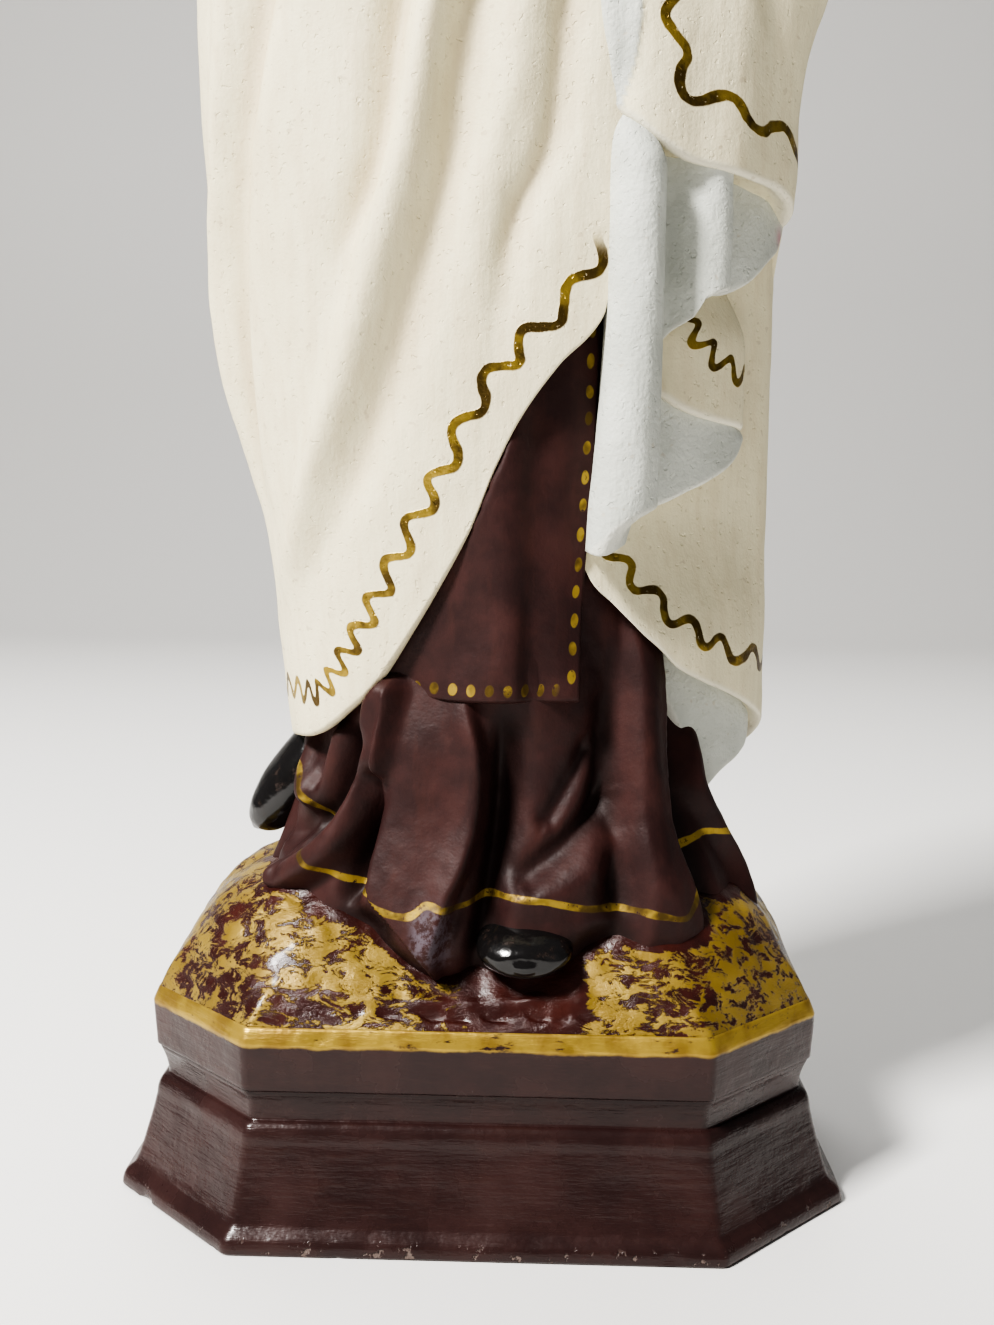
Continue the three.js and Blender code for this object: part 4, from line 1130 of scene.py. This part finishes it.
def head_points():
    """Head as a rounded drum of its own: features on the face, combed hair parted in the middle."""
    up = np.concatenate([np.linspace(-34.6, 20, 190), np.linspace(20.6, 34.7, 40)])[:, None]
    front = np.linspace(-66, 66, 260)
    angle = np.concatenate([front, np.linspace(69, 291, 60)])[None]
    s, c = np.sin(np.radians(angle)), np.cos(np.radians(angle))
    deep = np.where(c > 0, head_front(up), head_back(up))
    power = 2.15
    base = (np.abs(s / head_wide(up)) ** power + np.abs(c / deep) ** power) ** (-1 / power)
    x = base * s
    side = np.abs(x)
    face = (c > 0).astype(float)
    shape = sum(
        rise * np.exp(-(((x - hand * across) / wide) ** 2) - ((up - middle) / tall) ** 2)
        for across, middle, rise, wide, tall in FEATURES
        for hand in ((-1, 1) if across else (1,))
    )
    eye = side - EYE_ACROSS
    crease = up - (1.6 - 0.055 * eye**2)
    lash = up - (-1.7 + 0.05 * eye**2)
    inside = 1 - ramp(np.abs(eye), 3.6, 5.0)
    lids = 0.35 * bell((crease - 0.5) / 0.5) - 0.45 * bell(crease / 0.35) - 0.4 * bell(lash / 0.3)
    shape = shape + inside * lids
    oval = np.hypot(x / 17.6, (up + 6) / 27.6)
    hair = np.where(c > 0, ramp(oval, 0.98, 1.08), 1.0) * ramp(up, -34, -24)
    parting = 1 - 0.75 * bell(x / 1.3) * face
    sweep = np.sqrt(np.maximum(oval, 0.2))
    comb = np.sin(2.1 * (side * 0.55 + 0.35 * up + 7 * sweep))
    fine = np.sin(5.3 * (side * 0.5 + 0.3 * up + 6 * sweep) + 1.1)
    radius = base + face * shape * (1 - hair) + hair * parting * (3.2 + 0.45 * comb + 0.2 * fine)
    x0, y0 = radius * s, -radius * c
    bow_c, bow_s, turn_c, turn_s = (f(a) for a in (HEAD_BOW, HEAD_TURN) for f in (np.cos, np.sin))
    y1, z1 = y0 * bow_c - up * bow_s, up * bow_c + y0 * bow_s
    x2, y2 = x0 * turn_c - y1 * turn_s, x0 * turn_s + y1 * turn_c
    points = np.stack([x2, y2, z1 + 0 * x2], -1) + HEAD_AT + [0, 0, LEDGE]
    brow = bell((up - 6.3 + 0.03 * (side - 8.5) ** 2) / 0.85) * ramp(side, 3.6, 5.4)
    upper = (up + 17.2 + 0.035 * x**2 - 0.35 * bell((side - 1.6) / 1.1)) / 1.15
    lower = (up + 20.1 - 0.03 * x**2) / 1.25
    upper = np.exp(-(upper**4)) * (1 - ramp(side, 4.4, 5.6))
    lower = np.exp(-(lower**4)) * (1 - ramp(side, 3.6, 5.0))
    layers = {
        "hair": capped(hair, radius.shape, 0.0, 1.0),
        "brow": capped(brow * (1 - ramp(side, 13.5, 16)) * face, radius.shape),
        "lips": capped(face * np.maximum(upper, lower), radius.shape),
        "cheek": capped(face * (bell((side - 12.5) / 5) * bell((up + 8) / 5)), radius.shape),
        "lash": capped(face * bell(lash / 0.42) * inside, radius.shape),
    }
    ends = [points[0].mean(axis=0), points[-1].mean(axis=0) + [0, 0, 0.2]]
    return (*drum(points, *ends), layers)


def neck_points():
    """A short round neck."""
    return tube(
        (0, 0, 436, 15), (0, -1, 448, 13.4), (0, -2.5, 462, 12.2), (0, -4, 480, 12.4),
        sides=64, steps=40,
    )


def smoothed(name, made):
    """Overlapping closed tubes melted into one skin by a voxel remesh and a light smoothing."""
    rough = mesh(name + "_rough", *made[:3])
    melt = rough.modifiers.new("melt", "REMESH")
    melt.mode, melt.voxel_size = "VOXEL", 0.0006
    relax = rough.modifiers.new("relax", "SMOOTH")
    relax.factor, relax.iterations = 0.5, 6
    bpy.context.view_layer.update()
    depsgraph = bpy.context.evaluated_depsgraph_get()
    data = bpy.data.meshes.new_from_object(rough.evaluated_get(depsgraph))
    data.shade_smooth()
    bpy.data.objects.remove(rough)
    return added(name, data)


# Finishes. Colours are linear red, green and blue.

FULL_TURN, QUARTER_TURN = 6.2832, 1.5708


def math_method(operation, swap=False):
    """A method of a shader value that adds one Math node and gives its result."""

    def method(self, other=None):
        first, second = (other, self) if swap else (self, other)
        return self.paint.node("ShaderNodeMath", {"operation": operation}, {0: first, 1: second})

    return method


class Value:
    """A shader value: its operators add the Math nodes."""

    def __init__(self, paint, socket):
        self.paint, self.socket = paint, socket

    __add__ = __radd__ = math_method("ADD")
    __mul__ = __rmul__ = math_method("MULTIPLY")
    __sub__, __rsub__ = math_method("SUBTRACT"), math_method("SUBTRACT", swap=True)
    __truediv__, __rtruediv__ = math_method("DIVIDE"), math_method("DIVIDE", swap=True)
    abs, sin, root = math_method("ABSOLUTE"), math_method("SINE"), math_method("SQRT")
    floor, max = math_method("FLOOR"), math_method("MAXIMUM")


class Paint:
    """One material and its nodes."""

    SOCKETS = {
        "colour": "Base Color", "roughness": "Roughness", "metallic": "Metallic",
        "normal": "Normal", "coat": "Coat Weight", "coat_roughness": "Coat Roughness",
        "specular": "Specular IOR Level",
    }

    def __init__(self, name):
        self.material = bpy.data.materials.new(name)
        self.material.use_nodes = True
        self.tree = self.material.node_tree
        self.shader = self.tree.nodes["Principled BSDF"]
        self.place = self.node("ShaderNodeTexCoord", out="Object")

    def feed(self, socket, value):
        """Link a value to a socket, or set the socket to a number or colour."""
        if isinstance(value, Value):
            self.tree.links.new(value.socket, socket)
        elif value is not None:
            socket.default_value = value

    def node(self, kind, settings=None, sockets=None, out=0):
        """Any node: settings first, then values or links of its sockets; gives one output."""
        node = self.tree.nodes.new(kind)
        for key, value in (settings or {}).items():
            setattr(node, key, value)
        for key, value in (sockets or {}).items():
            self.feed(node.inputs[key], value)
        return Value(self, node.outputs[out])

    def noise(self, size, detail, rough=0.5, stretch=None, warp=0.0):
        """Noise between 0 and 1 with features of a size in mm, stretched along the axes."""
        where = self.place
        if stretch:
            where = self.node("ShaderNodeMapping", None, {"Vector": where, "Scale": stretch})
        sockets = {"Vector": where, "Scale": 1000.0 / size, "Detail": detail, "Roughness": rough}
        return self.node("ShaderNodeTexNoise", None, {**sockets, "Distortion": warp})

    def layer(self, name):
        """A per-point value of the mesh."""
        return self.node("ShaderNodeAttribute", {"attribute_name": name}, out="Fac")

    def step(self, value, low, high):
        """Smooth step of a value from low to high."""
        return self.node(
            "ShaderNodeMapRange",
            {"interpolation_type": "SMOOTHSTEP"},
            {"Value": value, "From Min": low, "From Max": high, "To Min": 0.0, "To Max": 1.0},
        )

    def blend(self, amount, a, b):
        """Colour mix of a and b."""
        a, b = ((*v, 1.0) if isinstance(v, tuple) else v for v in (a, b))
        return self.node("ShaderNodeMix", {"data_type": "RGBA"}, {0: amount, 6: a, 7: b}, out=2)

    def mottle(self, size, detail, rough, low, high, a, b):
        """Colour mix of a and b by a noise stepped from low to high."""
        return self.blend(self.step(self.noise(size, detail, rough), low, high), a, b)

    def bump(self, height, depth):
        """Bump of a height in millimetres times depth."""
        sockets = {"Height": height * depth, "Distance": 0.001, "Strength": 1.0}
        return self.node("ShaderNodeBump", None, sockets, out="Normal")

    def set(self, **values):
        """Feed the shader's sockets by their short names, and give the material."""
        for key, value in values.items():
            value = (*value, 1.0) if isinstance(value, tuple) else value
            self.feed(self.shader.inputs[self.SOCKETS[key]], value)
        return self.material


def gold_leaf(paint, under, mask, dull):
    """Gilt paint over a colour where the mask is, browner by a second value."""
    gold = paint.blend(dull, (0.36, 0.255, 0.055), (0.105, 0.068, 0.022))
    return paint.blend(mask, under, gold)


def ivory_cloth():
    """Matte ivory plaster with brush grain and pits, a cooler lining, patina and painted shade in
    the fold hollows, and a gilt wavy border.
    """
    p = Paint("ivory_plaster")
    blotch = p.noise(55, 3, 0.5)
    grain = p.noise(3.2, 3, 0.6, stretch=(1.0, 1.0, 0.16))
    fine = p.noise(0.9, 2, 0.6)
    base = p.blend(p.step(blotch, 0.3, 0.7), (0.70, 0.64, 0.445), (0.775, 0.715, 0.505))
    base = p.blend(p.step(grain, 0.35, 0.75) * 0.25, base, (0.56, 0.45, 0.29))
    white = p.blend(p.step(p.noise(24, 3), 0.3, 0.7), (0.48, 0.495, 0.445), (0.59, 0.605, 0.55))
    lining = p.layer("lining")
    base = p.blend(lining, base, white)
    base = p.blend(p.layer("edge") * 0.5, base, (0.70, 0.68, 0.60))
    # Patina and painted shade: darker tan in patches of the fold hollows.
    base = p.blend(p.layer("hollow") * p.step(blotch, 0.2, 0.6) * 0.5, base, (0.50, 0.40, 0.255))
    base = p.blend(p.layer("stain") * 0.55, base, (0.50, 0.14, 0.20))
    specks = p.step(p.noise(2.4, 1, 0.5), 0.70, 0.76)
    base = p.blend(specks * 0.35, base, (0.42, 0.34, 0.24))
    run, off = p.layer("wave_run"), p.layer("wave_off")
    wander = p.noise(14, 2) - 0.5
    phase = run * FULL_TURN + wander * 2.2
    wave = phase.sin() * 2.5
    slope = (phase + QUARTER_TURN).sin() * 1.15
    away = (off - wave).abs() / (slope * slope + 1.0).root()
    width = 1.25 + (p.noise(5, 2) - 0.5) * 0.9
    line = 1.0 - p.step(away / width, 0.82, 1.12)
    worn = p.step(p.noise(1.6, 3, 0.7), 0.22, 0.36)
    line = line * worn * (1.0 - p.layer("fade"))
    colour = gold_leaf(p, base, line, p.step(p.noise(9, 3, 0.6), 0.36, 0.60))
    pits = p.step(p.noise(1.7, 1, 0.5), 0.66, 0.74)
    pebbles = p.noise(1.5, 2, 0.5) * lining
    height = grain * 0.35 + fine * 0.22 + p.noise(6.5, 2) * 0.5 - pits * 0.25
    height = height + pebbles * 0.5 + line * 0.2
    roughness = 0.62 + (fine - 0.5) * 0.12 - line * 0.27
    return p.set(
        colour=colour, roughness=roughness, metallic=line * 0.75, normal=p.bump(height, 0.62),
        specular=0.35,
    )


def dab(paint, across, middle, run, pitch, half, wide):
    """A row of oval dabs: 1 where (run / half)**2 + (across / wide)**2 is under 1 in each pitch."""
    cell = run / pitch + (paint.noise(20, 1) - 0.5) * 0.6
    local = (cell - cell.floor() - 0.5) * pitch / half
    tilt = ((across - middle) + (paint.noise(6, 1) - 0.5) * 0.8) / wide
    return 1.0 - paint.step(local * local + tilt * tilt, 0.7, 1.15)


def brown_cloth(name, kind):
    """Dark maroon-brown paint with lighter worn streaks, painted shade in the fold hollows, wear
    and a painted highlight on the tip in front, and the gilt line or dabs that go with it.
    """
    p = Paint(name)
    blotch = p.noise(16, 4, 0.6)
    base = p.blend(p.step(blotch, 0.35, 0.7), (0.030, 0.0125, 0.0120), (0.053, 0.0195, 0.0172))
    streak = p.noise(5, 3, 0.6, stretch=(1.0, 1.0, 0.2))
    base = p.blend(p.step(streak, 0.5, 0.8) * 0.3, base, (0.075, 0.026, 0.019))
    # Painted shade: the fold hollows darkened almost to black.
    colour = p.blend(p.layer("hollow") * 0.7, base, (0.012, 0.006, 0.0055))
    line, metal = None, 0.0
    if kind == "dabs":
        right, bottom, run, arc = (p.layer(k) for k in ("in_right", "in_bottom", "run", "arc"))
        side = dab(p, right, 2.8, run, 7.6, 1.9, 1.05) * p.step(bottom, 1.0, 4.0)
        low = dab(p, bottom, 3.4, arc, 4.5, 1.15, 1.7) * p.step(right, 5.0, 7.0)
        line = side.max(low)
    elif kind == "hem":
        width = 0.9 + (p.noise(7, 2) - 0.5) * 1.1
        line = 1.0 - p.step(p.layer("line_off").abs() / width, 0.8, 1.15)
    if line is not None:
        line = line * p.step(p.noise(1.8, 3, 0.7), 0.28, 0.42)
        colour = gold_leaf(p, colour, line, p.step(p.noise(11, 3, 0.6), 0.42, 0.6))
        metal = line * 0.7
    # Wear and a painted highlight: grey-lilac on the tip in front.
    tip_scuff_and_highlight = p.layer("tip_scuff_and_highlight") * p.step(p.noise(2.2, 3, 0.7), 0.4, 0.6)
    colour = p.blend(tip_scuff_and_highlight * 0.75, colour, (0.125, 0.105, 0.125))
    height = p.noise(4.5, 3, 0.6) * 0.6 + p.noise(1.1, 2) * 0.2 + streak * 0.4
    return p.set(
        colour=colour, roughness=p.step(blotch, 0.3, 0.8) * 0.16 + 0.46, metallic=metal,
        normal=p.bump(height, 0.30), specular=0.25,
    )


def plinth_paint():
    """Thick glossy brown brushed along the sides, bare chips at the foot, a gilt bevel on top."""
    p = Paint("plinth_gloss_brown")
    z = p.node("ShaderNodeSeparateXYZ", None, {0: p.place}, out="Z") * 1000.0
    blotch = p.noise(22, 4, 0.6)
    brush = p.noise(2.2, 4, 0.65, stretch=(0.12, 0.12, 1.0))
    base = p.blend(p.step(blotch, 0.35, 0.7), (0.027, 0.0128, 0.0122), (0.043, 0.0190, 0.0172))
    base = p.blend(p.step(brush, 0.52, 0.75) * 0.3, base, (0.050, 0.023, 0.018))
    rubbed = p.step(p.noise(3.4, 4, 0.7, stretch=(0.35, 0.35, 1.0)), 0.29, 0.39)
    gilt = p.step(z + (p.noise(6, 3) - 0.5) * 1.6, LEDGE - 1.2, LEDGE - 0.2) * rubbed
    gold = p.mottle(8, 3, 0.5, 0.4, 0.65, (0.41, 0.285, 0.06), (0.28, 0.18, 0.04))
    chip = (1.0 - p.step(z, 1.6, 5.0)) * p.step(p.noise(4.5, 3, 0.7), 0.60, 0.66)
    colour = p.blend(chip * 0.75, p.blend(gilt, base, gold), (0.20, 0.15, 0.13))
    height = brush + p.noise(7, 3, 0.6) * 0.9 + p.noise(1.3, 2) * 0.12 - chip * 1.4
    return p.set(
        colour=colour, roughness=0.24 + p.step(blotch, 0.4, 0.8) * 0.14 + gilt * 0.12 + chip * 0.4,
        metallic=gilt * 0.6, normal=p.bump(height, 0.30), specular=0.34, coat=0.10,
        coat_roughness=0.16,
    )


def mound_paint():
    """Maroon ground scumbled with ochre gold in broken strokes that fade under the robe's edge."""
    p = Paint("mound_gilt_mottle")
    broad = p.noise(26, 3, 0.55)
    torn = p.noise(4.2, 6, 0.76, stretch=(0.6, 0.9, 1.2), warp=0.6)
    fine = p.noise(1.7, 4, 0.7, stretch=(0.6, 1.0, 1.4))
    bare = p.layer("bare") * 0.3 + p.layer("groove") * 0.35
    mask = p.step(torn + (broad - 0.5) * 0.3 + (fine - 0.5) * 0.22 - bare, 0.45, 0.505)
    ground = p.mottle(12, 3, 0.5, 0.4, 0.7, (0.034, 0.009, 0.0075), (0.058, 0.015, 0.011))
    gold = p.mottle(14, 3, 0.5, 0.35, 0.7, (0.215, 0.140, 0.022), (0.31, 0.215, 0.046))
    height = torn * 0.8 + fine * 0.35 + mask * 0.3 + p.noise(9, 3) * 0.6
    return p.set(
        colour=p.blend(mask, ground, gold), roughness=0.24 + mask * 0.15, metallic=mask * 0.3,
        normal=p.bump(height, 0.42), specular=0.42, coat=0.14, coat_roughness=0.15,
    )


def skin_paint():
    """Flesh-coloured plaster with painted brows, lips and lids and brown hair."""
    p = Paint("flesh_plaster")
    base = p.mottle(18, 3, 0.5, 0.3, 0.7, (0.62, 0.395, 0.29), (0.68, 0.445, 0.335))
    base = p.blend(p.layer("cheek") * 0.45, base, (0.62, 0.27, 0.21))
    base = p.blend(p.layer("lips") * 0.8, base, (0.44, 0.105, 0.09))
    base = p.blend(p.layer("brow") * 0.9, base, (0.07, 0.032, 0.018))
    base = p.blend(p.layer("lash") * 0.85, base, (0.06, 0.03, 0.02))
    strand = p.noise(1.6, 3, 0.6, stretch=(1, 1, 0.3))
    tress = p.blend(p.step(strand, 0.3, 0.7), (0.06, 0.026, 0.013), (0.13, 0.06, 0.03))
    hair = p.step(p.layer("hair"), 0.25, 0.6)
    colour = p.blend(hair, base, tress)
    height = p.noise(1.2, 2) * 0.25 + p.noise(5, 2) * 0.5 + strand * hair * 0.8
    return p.set(colour=colour, roughness=0.46, normal=p.bump(height, 0.25), specular=0.4)


def shoe_paint():
    """Glossy black paint, rubbed a little brown."""
    p = Paint("shoe_gloss_black")
    rub = p.step(p.noise(5, 4, 0.65), 0.55, 0.72)
    colour = p.blend(rub * 0.5, (0.010, 0.009, 0.009), (0.05, 0.03, 0.022))
    return p.set(
        colour=colour, roughness=0.16 + rub * 0.2, normal=p.bump(p.noise(6, 3), 0.4), specular=0.5,
        coat=0.3, coat_roughness=0.1,
    )


# Pieces.

ivory, skin = ivory_cloth(), skin_paint()
for name, made, material in (
    ("plinth", plinth_points(), plinth_paint()),
    ("mound", mound_layers(mound_points()), mound_paint()),
    ("robe", robe_layers(robe_points()), brown_cloth("robe_brown", "hem")),
    ("scapular", scapular_points(), brown_cloth("scapular_brown", "dabs")),
    ("mantle", mantle_points(), ivory),
    ("mantle_fall", fall_points(), ivory),
    ("head", head_points(), skin),
    ("neck", neck_points(), skin),
):
    finish(mesh(name, *made), material)
finish(smoothed("hands", hand_points()), skin)
finish(smoothed("cuffs", sleeve_points()), brown_cloth("cuff_brown", "plain"))
finish(mesh("shoes", *shoe_points()), shoe_paint())


# Floor, light and the view.


def floor():
    """A pale floor that sweeps up behind in one curve."""
    t = np.linspace(0, np.pi / 2, 25)
    y = np.concatenate([[-3.0, 1.6], 1.6 + 0.9 * np.sin(t[1:]), [2.5]])
    z = np.concatenate([[0, 0], 0.9 - 0.9 * np.cos(t[1:]), [4.0]])
    points = np.array([[(x, a, b) for x in (-4.0, 4.0)] for a, b in zip(y, z)])
    piece = mesh("floor", points * 1000.0, grid_faces(len(y), 2, wrap=False)[:, ::-1])
    paint = Paint("pale_floor")
    piece.data.materials.append(paint.set(colour=(0.80, 0.79, 0.77), roughness=0.7, specular=0.3))


def lamp(name, at, aim, size, power, tint=(1, 1, 1)):
    """A square soft light at a place, aimed at another."""
    data = bpy.data.lights.new(name, "AREA")
    data.size, data.energy, data.color = size, power, tint
    light = added(name, data)
    light.location = at
    light.rotation_euler = (Vector(aim) - Vector(at)).to_track_quat("-Z", "Y").to_euler()


def look(location, pitch, roll, yaw, focal):
    """Camera at a place in metres, tipped down, rolled and turned about the upright in radians."""
    tip = Matrix.Rotation(np.pi / 2 - pitch, 3, "X") @ Matrix.Rotation(roll, 3, "Z")
    data = bpy.data.cameras.new("view")
    data.lens = focal
    camera = added("view", data)
    facing = (Matrix.Rotation(yaw, 3, "Z") @ tip).to_4x4()
    camera.matrix_world = Matrix.Translation(location) @ facing
    bpy.context.scene.camera = camera


floor()
look((0.013221, -0.41661, 0.193778), pitch=0.1100, roll=0.0125, yaw=0.0265, focal=38.345)
lamp("key", (-1.06, -0.98, 1.66), (0.0, 0.0, 0.22), size=0.40, power=88, tint=(1.0, 0.98, 0.955))
lamp("fill", (1.3, -0.9, 0.6), (0.0, 0.0, 0.3), size=1.2, power=0.5, tint=(0.96, 0.98, 1.0))
lamp("top", (-0.2, 0.7, 1.5), (0.0, 0.0, 0.3), size=1.0, power=11)
world = bpy.data.worlds.new("studio")
world.use_nodes = True
background = world.node_tree.nodes["Background"]
background.inputs["Color"].default_value = (0.96, 0.97, 0.98, 1)
background.inputs["Strength"].default_value = 0.16
bpy.context.scene.world = world
bpy.context.scene.view_settings.look = "AgX - High Contrast"
